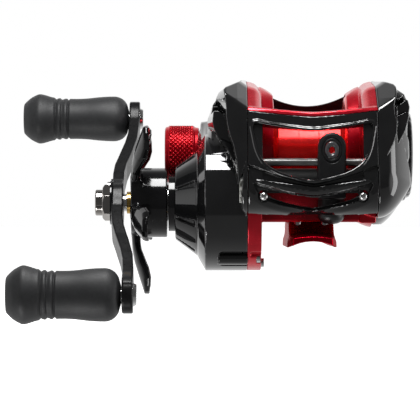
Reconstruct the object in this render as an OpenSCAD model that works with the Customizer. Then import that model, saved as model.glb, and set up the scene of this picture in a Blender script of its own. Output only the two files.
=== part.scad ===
// Low-profile baitcasting reel, right-hand handle on -X, line guide towards -Y, rod below.
// Origin: middle of the foot's saddle. All sizes in millimetres.

/* [Axes] */
// Handle and drive shaft axis, front to back
drive_y = -7; // [-7:0.1:-7]
// Handle and drive shaft axis, height
drive_z = 11.4; // [11.4:0.1:11.4]
// Spool axis, front to back
spool_y = 6; // [6:0.1:6]
// Spool axis, height
spool_z = 26.2; // [26.2:0.1:26.2]
// Level-wind worm axis, front to back
worm_y = -25; // [-25:0.1:-25]
// Level-wind worm axis, height
worm_z = 17.5; // [17.5:0.1:17.5]

/* [Body] */
// Half width over the frame's side walls
body_half = 19; // [19:0.1:19]
// Thickness of a frame side wall
wall = 4.2; // [4:0.1:4.4]
// Thickness of the covers' shells
skin = 1.7; // [1.5:0.1:1.9]
// Radius of the round gear housing
drum_r = 20.4; // [20.2:0.1:20.6]

/* [Spool] */
// Radius of the spool's flanges
flange_r = 17.6; // [17.4:0.1:17.7]
// Radius of the line drum
line_drum_r = 11.5; // [11:0.5:12]
// Half width of the spool over its flanges
spool_half = 12.5; // [12.3:0.1:12.5]

/* [Gears] */
// Teeth of the drive gear
drive_teeth = 72; // [72:1:72]
// Teeth of the pinion
pinion_teeth = 10; // [10:1:10]
// Teeth of the level-wind cog on the drive shaft
cog_teeth = 32; // [32:1:32]
// Teeth of the cog on the worm
worm_teeth = 16; // [16:1:16]

/* [Handle] */
// Distance between the two knob spindles
handle_span = 90; // [88:1:92]
// Lean of the handle from straight down, in degrees
handle_lean = 54; // [50:1:58]
// Length of a knob
knob_length = 33; // [32:0.5:34]
// Number of arms on the star drag
star_arms = 5; // [5:1:5]

/* [Foot] */
// Length of the foot along the rod
foot_length = 60; // [56:1:64]
// Width of the foot
foot_width = 14.6; // [14:0.1:15]
// Radius of the saddle that sits on the rod
saddle_r = 14; // [13:0.5:15]

/* [Hidden] */
$fn = 64;

drive = [drive_y, drive_z];
spool_at = [spool_y, spool_z];
worm_at = [worm_y, worm_z];
rail_at = [-27, 23.2];
fit = 0.05;                        // radial clearance of a running fit
gap = 0.02;                        // clearance of pieces fixed together
far = 100;                         // longer than anything cut

inner_half = body_half - wall;     // inside face of the side walls
lip_r = 18;                        // bore that the spool's flange turns in
top_r = 22.4;                      // crown of the body about the spool axis

// Side outlines, as circles [y, z, r] in counter-clockwise order
crown = [spool_y, spool_z, top_r];
nose_top = [-22, 24.5, 13.5];
nose_low = [-24, 17.3, 10.5];
rear_low = [20, 18, 11.4];
rear_top = [20, 27, 12];
body_rings = [crown, nose_top, nose_low, rear_low, rear_top];
drum_ring = [drive_y, drive_z, drum_r];

// Stations along X on the handle side
cog_x = [-21.4, -19.8];
gear_x = [-28.2, -24.6];
floor_x = -30.1;
cover_end = -31.6;
cone_x = [-40.4, -33.7];
boss_end = -41.5;
cap_x = [-43.7, -33.4];
hub_x = [-50.3, -42.8];
star_x = [-53.6, -50.3];
nut_x = [-62.2, -59.3];
nut_end = -64.4;

// The gears' sizes follow from their centre distances
drive_to_spool = norm(spool_at - drive);
drive_to_worm = norm(worm_at - drive);
drive_module = 2 * drive_to_spool / (drive_teeth + pinion_teeth);
cog_module = 2 * drive_to_worm / (cog_teeth + worm_teeth);
spool_way = atan2(spool_z - drive_z, spool_y - drive_y);
worm_way = atan2(worm_z - drive_z, worm_y - drive_y);
pressure = 20;
backlash = 0.05;

// Handle geometry: the lower end leans to the front
half_span = handle_span / 2;
lower_at = drive + half_span * [-sin(handle_lean), -cos(handle_lean)];
upper_at = drive - half_span * [-sin(handle_lean), -cos(handle_lean)];
knob_x = [-55.4 - knob_length, -55.4];
spindle_r = 2;

// Line guide
guide_x = 5.5;
guide_half = 4.1;
guide_y = [-31.2, -28.2];
eye_z = 26.6;

red = [0.75, 0.04, 0.06];
black = [0.04, 0.04, 0.045];
steel = [0.7, 0.7, 0.72];
brass = [0.8, 0.6, 0.25];

// ---- functions ----

// Angle of the outward normal where the tangent leaves ring a for ring b
function leave(a, b) =
    atan2(b[1] - a[1], b[0] - a[0]) - acos((a[2] - b[2]) / norm([b[0] - a[0], b[1] - a[1]]));

// Outline wrapped around a counter-clockwise chain of rings
function wrap(c, shrink = 0) = [
    for (i = [0:len(c) - 1])
    let (
        a = c[(i + len(c) - 1) % len(c)],
        b = c[i],
        d = c[(i + 1) % len(c)],
        start = leave(a, b),
        turn = leave(b, d) - start,
        sweep = turn - 360 * floor(turn / 360),
        steps = max(1, ceil(sweep / 9))
    )
    each [for (k = [0:steps]) [b[0], b[1]] + (b[2] - shrink) * spoke(start + sweep * k / steps)]
];

function spoke(a) = [cos(a), sin(a)];
function arc(at, r, a0, a1, steps = 12) =
    [for (k = [0:steps]) at + r * spoke(a0 + (a1 - a0) * k / steps)];

// Involute angle, in degrees, of a base circle at radius r
function involute(base, r) =
    r <= base ? 0 : let (a = acos(base / r)) tan(a) * 180 / PI - a;

// Outline of a spur gear with one tooth centred on angle phase
function gear_points(teeth, m, add, ded, phase) =
    let (
        pitch = teeth * m / 2,
        base = pitch * cos(pressure),
        half = 90 / teeth - backlash / 2 / pitch * 180 / PI + involute(base, pitch),
        radii = [pitch - ded * m, max(base, pitch - ded * m / 2), pitch, pitch + add * m]
    )
    [
        for (t = [0:teeth - 1]) each concat(
            [for (r = radii) r * spoke(phase + 360 * t / teeth - half + involute(base, r))],
            [for (i = [3:-1:0]) radii[i]
                * spoke(phase + 360 * t / teeth + half - involute(base, radii[i]))]
        )
    ];

// ---- shared shapes ----

// Extrudes an outline drawn in Y and Z from x0 to x1
module across(x0, x1) {
    translate([x0, 0, 0]) rotate([90, 0, 90]) linear_extrude(x1 - x0) children();
}

// Extrudes an outline drawn in X and Z from y0 back to y1
module along(y0, y1) {
    translate([0, y1, 0]) rotate([90, 0, 0]) linear_extrude(y1 - y0) children();
}

module rod(at, x0, x1, r) {
    translate([x0, at[0], at[1]]) rotate([0, 90, 0]) cylinder(h = x1 - x0, r = r);
}

module tube(at, x0, x1, ro, ri) {
    difference() {
        rod(at, x0, x1, ro);
        rod(at, x0 - 1, x1 + 1, ri);
    }
}

// Turned piece about an X axis, from points [x, r]
module turned(at, points) {
    translate([0, at[0], at[1]]) rotate([0, 90, 0]) rotate_extrude()
        polygon([for (p = points) [p[1], p[0]]]);
}

module outline(rings, shrink = 0) {
    polygon(wrap(rings, shrink));
}

module spur(at, x0, x1, teeth, m, add, ded, phase) {
    across(x0, x1) translate(at) polygon(gear_points(teeth, m, add, ded, phase));
}

module screw_x(at, head_x, tip_x, r) {
    away = tip_x < head_x ? 1 : -1;
    rod(at, min(head_x, tip_x), max(head_x, tip_x), r);
    difference() {
        rod(at, min(head_x, head_x + away * 1.1), max(head_x, head_x + away * 1.1), 1.7 * r);
        translate([head_x + away * 1.1, at[0], at[1]]) cube([1, 3 * r, 0.5], center = true);
    }
}

// ---- frame and foot ----

bottom_z = [5.6, 8.7];
rear_bar = [[22, 7], [26, 7], [30, 11], [30.5, 17], [27.5, 17], [22, 10.5]];
front_rim = [[-23.9, 33.5], [-23.9, 37.4], [-19.5, 39], [-15.5, 39.2], [-16, 36.6], [-20, 33.8]];
low_bar = [[-20.2, 6], [-18.8, 6], [-18.8, 14.6], [-20.2, 14.6]];
hood_screw = [14.4, -33.2, 13.2];     // x, seat and height of the hood's screws
screw_ring = 19.3;
screw_spots = [
    drive + screw_ring * spoke(238),
    drive + screw_ring * spoke(290),
    spool_at + 20.6 * spoke(150)
];
palm_spots = [spool_at + 20.6 * spoke(150), spool_at + 20.6 * spoke(200), [20, 10.5]];
foot_spots = [[-4, -14], [4, -14], [-4, 20], [4, 20]];

module wall_outline() {
    intersection() {
        outline(body_rings);
        translate([-23.9, -far]) square(2 * far);
    }
    intersection() {
        outline(body_rings, skin + 0.15);
        translate([-31.4, 0]) square([10, far]);
    }
}

module frame() {
    color(red) difference() {
        union() {
            across(-body_half, -inner_half) {
                wall_outline();
                translate(drive) circle(r = drum_r);
            }
            across(inner_half, body_half) difference() {
                wall_outline();
                translate(spool_at) circle(r = lip_r);
            }
            for (side = [-1, 1]) turned(spool_at, [
                [side * inner_half, lip_r],
                [side * inner_half, 20.2],
                [side * 11, 19.6],
                [side * 11, lip_r]
            ]);
            difference() {
                translate([-inner_half, -20.2, bottom_z[0]])
                    cube([2 * inner_half, 46.2, bottom_z[1] - bottom_z[0]]);
                rod(spool_at, -inner_half - 1, inner_half + 1, lip_r);
            }
            across(-inner_half, inner_half) {
                polygon(rear_bar);
                polygon(front_rim);
                polygon(low_bar);
            }
        }
        // Thumb bar's tongue, clutch and shafts
        across(-far, -inner_half + 1) translate([23.2, 26.4]) square([6.1, 8.9]);
        rod(drive, -far, -inner_half - 0.5, 4);
        rod(spool_at, -far, 0, 3.4);
        rod(worm_at, -far, far, 2.8);
        rod(rail_at, -far, far, 1.1 + gap);
        for (s = screw_spots) rod(s, -far, 0, 0.8 + gap);
        for (s = palm_spots) rod(s, 0, far, 0.8 + gap);
        for (s = foot_spots) translate([s[0], s[1], 0]) {
            cylinder(h = 20, r = 1.25 + gap);
            translate([0, 0, 7.3]) cylinder(h = 20, r = 2.2);
        }
        for (side = [-1, 1]) translate([side * hood_screw[0], -20, hood_screw[2]])
            rotate([90, 0, 0]) cylinder(h = 30, r = 0.8 + gap);
        // Pocket around the visible cover screw, and reliefs for the heads beside the lips
        across(-inner_half - 1.4, 0) translate(screw_spots[0]) circle(r = 1.8);
        rod(screw_spots[2], -inner_half, 0, 1.5);
        for (s = palm_spots) rod(s, 0, inner_half, 1.5);
    }
}

module reel_foot() {
    top = bottom_z[0] - gap;
    color(red) difference() {
        union() {
            translate([-foot_width / 2 + 0.6, -16.5, -2])
                cube([foot_width - 1.2, 39, top + 2]);
            across(-foot_width / 2, foot_width / 2) polygon([
                [-foot_length / 2, -2],
                [foot_length / 2, -2],
                [foot_length / 2, 1.2],
                [23, 3],
                [-17, 3],
                [-foot_length / 2, 1.2]
            ]);
        }
        translate([0, far, -saddle_r]) rotate([90, 0, 0]) cylinder(h = 2 * far, r = saddle_r, $fn = 96);
        for (s = foot_spots) translate([s[0], s[1], 2.2]) cylinder(h = 10, r = 1.25 + gap);
    }
}

module foot_screws() {
    color(steel) for (s = foot_spots) translate([s[0], s[1], 0]) difference() {
        union() {
            translate([0, 0, 2.4]) cylinder(h = 5, r = 1.25);
            translate([0, 0, 7.32]) cylinder(h = 1.3, r = 2.15);
        }
        translate([0, 0, 8.4]) cube([3.4, 0.6, 1], center = true);
        translate([0, 0, 8.4]) cube([0.6, 3.4, 1], center = true);
    }
}

// ---- shells ----

window = [[-17.4, 35], [-9, 33], [0, 32], [9, 33], [17.4, 35], [16.5, 29], [14.2, 23.6],
    [8, 20.4], [0, 18.4], [-8, 20.4], [-14.2, 23.6], [-16.5, 29]];
low_slot = [[-12, 14.6], [0, 13.4], [12.4, 14.8], [10.5, 11.8], [0, 10.2], [-9.5, 11.6]];

module front_hood() {
    color(black) difference() {
        across(-body_half, body_half) intersection() {
            difference() {
                outline(body_rings);
                outline(body_rings, skin);
            }
            translate([-far, 6.8]) square([far - 24, far]);
        }
        along(-far, -26) polygon(window);
        along(-far, -26) polygon(low_slot);
        translate([-far, -30.2, 0]) cube([2 * far, 20, 11.5]);
        for (side = [-1, 1]) translate([side * hood_screw[0], hood_screw[1], hood_screw[2]])
            rotate([90, 0, 0]) {
                translate([0, 0, -10]) cylinder(h = 30, r = 0.8 + gap);
                cylinder(h = 10, r = 1.55);
            }
    }
}

module hood_screws() {
    color(steel) for (side = [-1, 1]) translate([side * hood_screw[0], hood_screw[1], hood_screw[2]])
        rotate([90, 0, 0]) {
            translate([0, 0, -3.3]) cylinder(h = 3.4, r = 0.8);
            translate([0, 0, 0.02]) cylinder(h = 0.9, r = 1.5);
        }
}

// Steps of the handle-side cover: [outer x, inner x, rings], each closed by an end skin
end_skin = 0.8;
function lowered(ring, by) = [ring[0], ring[1], ring[2] - by];
handle_steps = [
    [-22.5, -19, [crown, nose_top, nose_low, drum_ring, rear_low, rear_top]],
    [-26, -22.5, [lowered(crown, 1.8), drum_ring]],
    [-29, -26, [lowered(crown, 5.6), drum_ring]],
    [cover_end, -29, [[spool_y, spool_z, 12.4], drum_ring]]
];

module handle_side_cover() {
    color(black) difference() {
        union() {
            difference() {
                union() {
                    for (s = handle_steps) across(s[0], s[1]) outline(s[2]);
                    turned(drive, [
                        [cover_end + 1, 0], [cover_end + 1, 19], [-33.7, 17.5], [-33.7, 16],
                        [cone_x[0], 11], [cone_x[0], 0]
                    ]);
                }
                rod(spool_at, -far, cap_x[1] + 0.4, 9.3);
            }
            rod(spool_at, boss_end, -31, 7.2);
        }
        for (s = handle_steps) across(max(s[0] + end_skin, floor_x), s[1] + 1.51) outline(s[2], skin);
        for (s = screw_spots) rod(s, -24.1, 0, 0.8 + gap);
        rod(drive, floor_x, -19, 18.2);
        rod(drive, -37.7, -20, 7 + gap);
        rod(drive, -far, -20, 6 + gap);
        rod(spool_at, -36.6, -20, 4.5 + gap);
        rod(spool_at, -far, -20, 3);
    }
}

palm_steps = [
    [body_half, 22, body_rings],
    [22, 25.1, [lowered(crown, 2), lowered(nose_top, 3), lowered(nose_low, 2.5),
        lowered(rear_low, 2), lowered(rear_top, 2)]],
    [25.1, 27.8, [lowered(crown, 5), [-14, 24.5, 13], [-14, 20, 9.5], [17, 20, 10], [17, 27, 10]]]
];

module palm_side_cover() {
    color(black) difference() {
        union() {
            difference() {
                for (s = palm_steps) across(s[0], s[1]) outline(s[2]);
                for (s = palm_steps) across(s[0] - 1.51, s[1] - 1.5) outline(s[2], skin);
            }
            // Inner plate with the bearing hub
            across(body_half, body_half + 1.5) outline(body_rings, skin - gap);
            rod(spool_at, body_half, 27, 5.8);
        }
        rod(spool_at, 0, 24.6, 4.5 + gap);
        rod(spool_at, 25.6, far, 4 + fit);
        rod(worm_at, 0, body_half + 2, 2.2);
        for (a = [30:120:270]) rod(spool_at + 10 * spoke(a), 0, 24, 1);
        for (s = palm_spots) rod(s, 0, 24, 0.8 + gap);
    }
}

module cover_screws() {
    color(steel) {
        screw_x(screw_spots[0], -inner_half - 1.4, -24, 0.8);
        screw_x(screw_spots[1], -inner_half, -24, 0.8);
        screw_x(screw_spots[2], -inner_half, -20.4, 0.8);
        for (s = palm_spots) screw_x(s, inner_half, 20.4, 0.8);
    }
}

// ---- fixed inner pieces ----

module guide_rail() {
    color(steel) rod(rail_at, -16.5, 16.5, 1.1);
}

module worm_guard() {
    color(black) difference() {
        tube(worm_at, -inner_half + 0.05, inner_half - 0.05, 3.9, 3.3);
        translate([-13.4, worm_y - 1.9, worm_z - 5]) cube([26.8, 3.8, 5]);
    }
}

module worm_bushes() {
    color(brass) for (side = [-1, 1])
        tube(worm_at, side < 0 ? -18.8 : inner_half + 0.1, side < 0 ? -inner_half - 0.1 : 18.8,
            2.78, 1.65);
}

module bearing(at, x0, x1, ro, ri) {
    tube(at, x0, x1, ro, ri);
}

module spool_bearings() {
    color(steel) {
        bearing(spool_at, -36.5, -34, 4.5, 1.25);
        bearing(spool_at, 21.8, 24.3, 4.5, 1.25);
    }
}

module main_shaft_bearing() {
    color(steel) bearing(drive, -18.9, -15.4, 3.98, 2.04);
}

module one_way_bearing() {
    color(steel) bearing(drive, -37.6, -31, 7, 4.05);
}

module crank_bearing() {
    color(steel) bearing(drive, -40.2, -37.8, 6, 4.05);
}

module bearing_retainer() {
    color(black) tube(drive, -42.4, cone_x[0] - 0.02, 8.6, 6.4);
}

// The yoke's ears carry a return spring each
yoke_way = spool_way + 90;
yoke_ears = [spool_at + 8 * spoke(yoke_way), spool_at - 8 * spoke(yoke_way)];

module yoke_springs() {
    color(steel) for (e = yoke_ears) tube(e, -28, -22.4, 1.5, 1.05);
}

// ---- crank ----

module drive_shaft() {
    color(steel) difference() {
        turned(drive, [
            [-15.6, 0], [-15.6, 2], [-19.4, 2], [-19.4, 3], [-22.7, 3], [-22.7, 8], [-24.2, 8],
            [-24.2, 3], [-43.4, 3], [-43.4, 2.6], [-63.6, 2.6], [-63.6, 0]
        ]);
        for (side = [-1, 1]) translate([-61, drive_y, drive_z]) rotate([-handle_lean, 0, 0])
            translate([0, side * 4.1, 0]) cube([10, 4, 12], center = true);
    }
}

module levelwind_cog() {
    color(brass) difference() {
        spur(drive, cog_x[0], cog_x[1], cog_teeth, cog_module, 0.8, 1, worm_way);
        rod(drive, -far, 0, 3 + gap);
        for (a = [0:72:359]) rod(drive + 7.6 * spoke(a), -far, 0, 2.2);
    }
}

module ratchet() {
    teeth = 8;
    color(steel) across(-22.68, cog_x[0] - gap) translate(drive) difference() {
        polygon([for (t = [0:teeth - 1]) each [
            9 * spoke(360 * t / teeth),
            7.2 * spoke(360 * t / teeth + 4),
            7.6 * spoke(360 * (t + 0.6) / teeth)
        ]]);
        circle(r = 3 + gap);
    }
}

module drive_gear() {
    color(brass) difference() {
        spur(drive, gear_x[0], gear_x[1], drive_teeth, drive_module, 0.58, 1.25, spool_way);
        rod(drive, -far, 0, 3 + fit);
        rod(drive, -far, gear_x[0] + 1.8, 12);
    }
}

module drag_washers() {
    color(black) for (i = [0:2]) {
        x = gear_x[0] + 1.78 - 0.58 * i;
        tube(drive, x - 0.54, x, 11.9, 3.1);
    }
}

module key_washer() {
    color(steel) difference() {
        tube(drive, gear_x[0] - 0.9, gear_x[0] - 0.02, 11, 3.05);
        for (side = [-1, 1]) translate([-30, drive_y - 1, drive_z + side * 10 - 1]) cube([5, 2, 2]);
    }
}

module clutch_sleeve() {
    color(steel) turned(drive, [
        [-29.15, 3.05], [-29.15, 5.4], [-30, 5.4], [-30, 4], [-41.6, 4], [-41.6, 3.05]
    ]);
}

module spring_washers() {
    color(steel) for (x = [-42.3, -43]) turned(drive, [
        [x, 3.1], [x, 3.4], [x + 0.3, 5.4], [x + 0.6, 5.4], [x + 0.3, 3.1]
    ]);
}

module handle_arm() {
    mid = half_span - 14;
    profile = [
        [-half_span - 5.4, -52], [-half_span + 7, -52], [-mid, -52.6], [-21, -54.6],
        [-12, -55.9], [12, -55.9], [21, -54.6], [mid, -52.6], [half_span - 7, -52],
        [half_span + 5.4, -52], [half_span + 5.4, -55.2], [half_span - 7.6, -55.2],
        [mid - 1, -55.8], [20, -57.9], [11, -59.3], [-11, -59.3], [-20, -57.9],
        [-mid + 1, -55.8], [-half_span + 7.6, -55.2], [-half_span - 5.4, -55.2]
    ];
    color(black) translate([0, drive_y, drive_z]) rotate([-handle_lean, 0, 0]) difference() {
        intersection() {
            // Side profile: length along the arm against X
            translate([0, 6, 0]) rotate([90, 0, 0]) linear_extrude(12)
                polygon([for (p = profile) [p[1], p[0]]]);
            // Plan: waisted arm with round ends
            rotate([0, 90, 0]) translate([0, 0, -far]) linear_extrude(far) polygon(concat(
                arc([-half_span, 0], 5.4, 90, 270),
                [[-20, -3.4], [-6, -6], [6, -6], [20, -3.4]],
                arc([half_span, 0], 5.4, -90, 90),
                [[20, 3.4], [6, 6], [-6, 6], [-20, 3.4]]
            ));
        }
        translate([-far, 0, 0]) rotate([0, 90, 0]) cylinder(h = 2 * far, r = 2.6 + gap);
        for (side = [-1, 1]) translate([-far, 0, side * half_span]) rotate([0, 90, 0])
            cylinder(h = 2 * far, r = spindle_r + gap);
    }
}

module handle_nut() {
    across_flats = 9.5;
    color(steel) difference() {
        union() {
            translate([nut_x[0], drive_y, drive_z]) rotate([0, 90, 0])
                cylinder(h = nut_x[1] - nut_x[0] - gap, r = across_flats / sqrt(3), $fn = 6);
            rod(drive, nut_end, nut_x[0], 4);
        }
        rod(drive, -63.8, 0, 2.6 + gap);
    }
}

retainer_at = drive + 8.2 * spoke(90 - handle_lean);

module nut_retainer() {
    color(black) across(-59.9, -59.32) difference() {
        union() {
            translate(drive) circle(r = 6.6);
            translate(retainer_at) circle(r = 2.4);
        }
        translate(drive) circle(r = 5.6);
        translate(retainer_at) circle(r = 0.8 + gap);
    }
}

module retainer_screw() {
    color(steel) {
        rod(retainer_at, -59.9, -59.35, 0.8);
        rod(retainer_at, -61, -59.92, 1.5);
    }
}

module knob_spindles() {
    color(steel) for (at = [lower_at, upper_at]) turned(at, [
        [-51, 0], [-51, 3], [-51.95, 3.4], [-51.95, spindle_r], [knob_x[0] + 4.2, spindle_r],
        [knob_x[0] + 4.2, 0]
    ]);
}

// ---- star drag ----

// Profile of a star arm in radius and X: it curves towards the body at its tip
star_bend = [
    [5, star_x[0]], [10, star_x[0]], [14, -52.9], [19, -50.6], [23, -49.4], [27.5, -48.9],
    [27.5, -46.9], [23, -47.2], [18, -48.4], [13, -50], [10, hub_x[0]], [5, hub_x[0]]
];
star_leaf = [
    [5, 3.2], [11, 2.6], [16, 4], [21, 4.8], [25, 3.8], [27, 0],
    [25, -3.8], [21, -4.8], [16, -4], [11, -2.6], [5, -3.2]
];

module star_drag() {
    color(black) difference() {
        union() {
            turned(drive, [
                [hub_x[1], 8], [hub_x[1], 10], [hub_x[1] - 0.4, 10.4], [hub_x[0], 10.4],
                [star_x[0], 9.6], [star_x[0], 0], [hub_x[1] - 2, 0], [hub_x[1] - 2, 8]
            ]);
            for (t = [0:star_arms - 1]) translate([0, drive_y, drive_z])
                rotate([-90 + 360 * t / star_arms, 0, 0]) intersection() {
                    across(-60, -40) polygon(star_leaf);
                    translate([0, 0, -6]) linear_extrude(12)
                        polygon([for (p = star_bend) [p[1], p[0]]]);
                }
        }
        rod(drive, -far, 0, 3.3 + fit);
    }
}

module star_nut() {
    color(brass) turned(drive, [
        [-54.9, 2.65], [-54.9, 3.3], [-43.6, 3.3], [-43.6, 2.65]
    ]);
}

// ---- knobs ----

module knob(at) {
    color([0.16, 0.16, 0.17]) turned(at, [
        [knob_x[1], 2.4], [knob_x[1], 4.4], [knob_x[1] - 1.2, 6.2], [knob_x[1] - 3, 7.2],
        [knob_x[1] - 5, 7.4], [knob_x[1] - 10, 6.9], [knob_x[1] - 16, 6.4],
        [knob_x[1] - 20, 6.5], [knob_x[1] - 24, 7.4], [knob_x[1] - 28, 8.3],
        [knob_x[1] - 30, 7.9], [knob_x[0] + 1, 6.2], [knob_x[0], 5], [knob_x[0], 4.1],
        [knob_x[0] + 4, 4.1], [knob_x[0] + 4, 3.5], [knob_x[0] + 8, 3.5],
        [knob_x[0] + 8, 2.4], [knob_x[1] - 4, 2.4], [knob_x[1] - 4, 3.5], [knob_x[1] - 0.5, 3.5],
        [knob_x[1] - 0.5, 2.4]
    ]);
}

module knob_bushes(at) {
    color(brass) {
        tube(at, knob_x[0] + 4.4, knob_x[0] + 7.9, 3.48, spindle_r + fit);
        tube(at, knob_x[1] - 3.9, knob_x[1] - 0.6, 3.48, spindle_r + fit);
    }
}

module knob_cap(at) {
    color(black) turned(at, [
        [knob_x[0] + 0.3, 0], [knob_x[0] + 0.3, 3.6], [knob_x[0] + 0.6, 4.06],
        [knob_x[0] + 3.2, 4.06], [knob_x[0] + 3.2, 0]
    ]);
}

module lower_knob() {
    knob(lower_at);
}

module upper_knob() {
    knob(upper_at);
}

module lower_knob_bushes() {
    knob_bushes(lower_at);
}

module upper_knob_bushes() {
    knob_bushes(upper_at);
}

module lower_knob_cap() {
    knob_cap(lower_at);
}

module upper_knob_cap() {
    knob_cap(upper_at);
}

// ---- spool and pinion ----

module spool() {
    color(red) difference() {
        turned(spool_at, [
            [-spool_half, 2.5], [-spool_half, 8], [-spool_half + 1, 16], [-spool_half, flange_r - 0.4],
            [-spool_half + 0.4, flange_r], [-spool_half + 1.5, flange_r],
            [-spool_half + 2.2, line_drum_r + 1], [-spool_half + 3.2, line_drum_r],
            [spool_half - 3.2, line_drum_r], [spool_half - 2.2, line_drum_r + 1],
            [spool_half - 1.5, flange_r], [spool_half - 0.4, flange_r],
            [spool_half, flange_r - 0.4], [spool_half - 1, 16], [spool_half - 1.6, 9.8],
            [-spool_half + 3, 9.8], [-spool_half + 3, 2.5]
        ]);
        rod(spool_at, -far, far, 1.2 + gap);
    }
    color(red) tube(spool_at, -spool_half, 8, 2.51, 1.2 + gap);
}

module spool_shaft() {
    color(steel) difference() {
        rod(spool_at, -40.8, 24.1, 1.2);
        translate([-20.6, spool_y, spool_z]) rotate([spool_way, 0, 0]) rotate([-90, 0, 0])
            cylinder(h = 6, r = 0.45 + gap, center = true);
    }
}

module shaft_pin() {
    color(steel) translate([-20.6, spool_y, spool_z]) rotate([spool_way, 0, 0])
        rotate([-90, 0, 0]) cylinder(h = 5, r = 0.45, center = true);
}

module pinion_gear() {
    color(brass) difference() {
        union() {
            spur(spool_at, -30.2, -22.3, pinion_teeth, drive_module, 1, 0.9,
                spool_way + 180 + 180 / pinion_teeth);
            rod(spool_at, -22.35, -21.05, 1.9);
            rod(spool_at, -21.1, -20, 3.15);
        }
        rod(spool_at, -far, 0, 1.2 + fit);
        translate([-20.6, spool_y, spool_z]) rotate([spool_way, 0, 0])
            cube([1.4, 8, 1.1], center = true);
    }
}

module clutch_yoke() {
    color(steel) across(-22.15, -21.25) difference() {
        union() {
            translate(spool_at) circle(r = 3.0);
            for (e = yoke_ears) translate(e) circle(r = 2.2);
            translate(spool_at) rotate(yoke_way) translate([-8, -0.4]) square([16, 2.4]);
        }
        translate(spool_at) circle(r = 1.95);
        for (e = yoke_ears) translate(e) circle(r = 0.9);
    }
}

cam_reach = 10;

module clutch_cam() {
    color(steel) difference() {
        union() {
            tube(spool_at, -20.9, -19.5, 5.2, 3.5);
            across(-20.9, -19.5) translate(spool_at) rotate(10) translate([4.5, -1])
                square([cam_reach - 4.5, 2]);
        }
        rod(spool_at, -far, 0, 3.5);
    }
}

module thumb_bar() {
    color(black) {
        across(-inner_half + 0.4, inner_half - 0.4) polygon(concat(
            arc(spool_at, 21.8, 2, 47, 10),
            [[19.3, 43.4], [18.9, 44.8], [21.4, 44.8], [25.2, 41.4], [28.8, 36.4], [31.4, 30.5],
                [31.7, 27]]
        ));
        across(-19.4, -inner_half + 0.6) translate([23.6, 30.6]) square([2.2, 3]);
    }
}

module clutch_plate() {
    color(steel) difference() {
        across(-20.7, -19.42) polygon([[12.5, 29.4], [27.2, 29.4], [26, 33.2], [20, 34.6], [12.5, 33]]);
        rod([17, 31.6], -far, 0, 1);
    }
}

// ---- level wind ----

module worm_shaft() {
    color(steel) difference() {
        turned(worm_at, [
            [-21.45, 0], [-21.45, 1.6], [-14.6, 1.6], [-14.6, 3], [14.6, 3], [14.6, 1.6],
            [18.9, 1.6], [18.9, 0]
        ]);
        for (k = [-5:5]) turned(worm_at, [
            [2.4 * k - 0.5, 2.3], [2.4 * k - 0.5, 4], [2.4 * k + 0.5, 4], [2.4 * k + 0.5, 2.3]
        ]);
    }
}

module worm_cog() {
    color([0.9, 0.9, 0.88]) difference() {
        spur(worm_at, cog_x[0], cog_x[1], worm_teeth, cog_module, 0.8, 1,
            worm_way + 180 + 180 / worm_teeth);
        rod(worm_at, -far, 0, 1.6 + gap);
    }
}

module line_guide() {
    color(black) difference() {
        union() {
            translate([guide_x - guide_half, -29.4, 12.6]) cube([2 * guide_half, 8.8, 12.6]);
            along(guide_y[0], guide_y[1]) {
                translate([guide_x - guide_half, 15]) square([2 * guide_half, 12.6]);
                translate([guide_x, 27.6]) circle(r = guide_half);
            }
            translate([guide_x, worm_y, 9.2]) cylinder(h = 4, r = 3.9);
        }
        rod(worm_at, -far, far, 3.9 + fit);
        rod(rail_at, -far, far, 1.1 + fit);
        translate([guide_x, worm_y, 0]) cylinder(h = 16, r = 1.7);
        translate([guide_x, 0, eye_z]) rotate([90, 0, 0]) cylinder(h = far, r = 2.6);
    }
}

module guide_insert() {
    color([0.25, 0.25, 0.27]) translate([guide_x, 0, eye_z]) rotate([90, 0, 0]) rotate_extrude()
        polygon([[1.5, 28.3], [1.25, 28.8], [1.25, 30.8], [1.5, 31.4], [2.2, 31.7], [2.58, 31.4],
            [2.58, 28.3]]);
}

module levelwind_pawl() {
    color(brass) translate([guide_x, worm_y, 9.3]) cylinder(h = 4.8, r = 1.6);
}

module pawl_cap() {
    color(black) translate([guide_x, worm_y, 0]) rotate_extrude()
        polygon([[0, 5], [1.6, 5], [3.3, 6], [3.9, 7.6], [3.9, 9.15], [0, 9.15]]);
}

// ---- brake ----

module brake_dial() {
    color(black) difference() {
        turned(spool_at, [
            [25.7, 0], [25.7, 4], [27.9, 4], [27.9, 13], [28.3, 13.2], [30.2, 13.2],
            [31, 12.4], [31, 10.6], [30.3, 10], [30.3, 0]
        ]);
        for (a = [0:15:359]) rod(spool_at + 13.6 * spoke(a), 0, far, 0.7);
    }
}

module magnet_carrier() {
    color(black) {
        tube(spool_at, 14.9, 16.6, 14, 6);
        for (a = [30:120:270]) rod(spool_at + 10 * spoke(a), 16.5, 22, 0.9);
    }
}

module brake_magnets() {
    color(steel) for (a = [0:45:359]) rod(spool_at + 12 * spoke(a), 13.9, 14.88, 1.7);
}

// ---- spool tension ----

module tension_cap() {
    color(red) difference() {
        turned(spool_at, [
            [cap_x[1], 7.3], [cap_x[1], 8.2], [cap_x[1] - 1.4, 8.7], [cap_x[0] + 1.4, 8.7],
            [cap_x[0], 7.9], [cap_x[0], 0], [cap_x[0] + 1.7, 0], [cap_x[0] + 1.7, 7.3]
        ]);
        for (a = [0:10:359]) rod(spool_at + 8.95 * spoke(a), cap_x[0] + 1.6, cap_x[1] - 1.6, 0.35, $fn = 6);
    }
}

module tension_shims() {
    color(brass) {
        rod(spool_at, -41.4, -40.85, 2.6);
        rod(spool_at, -41.96, -41.45, 2.6);
    }
}

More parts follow.
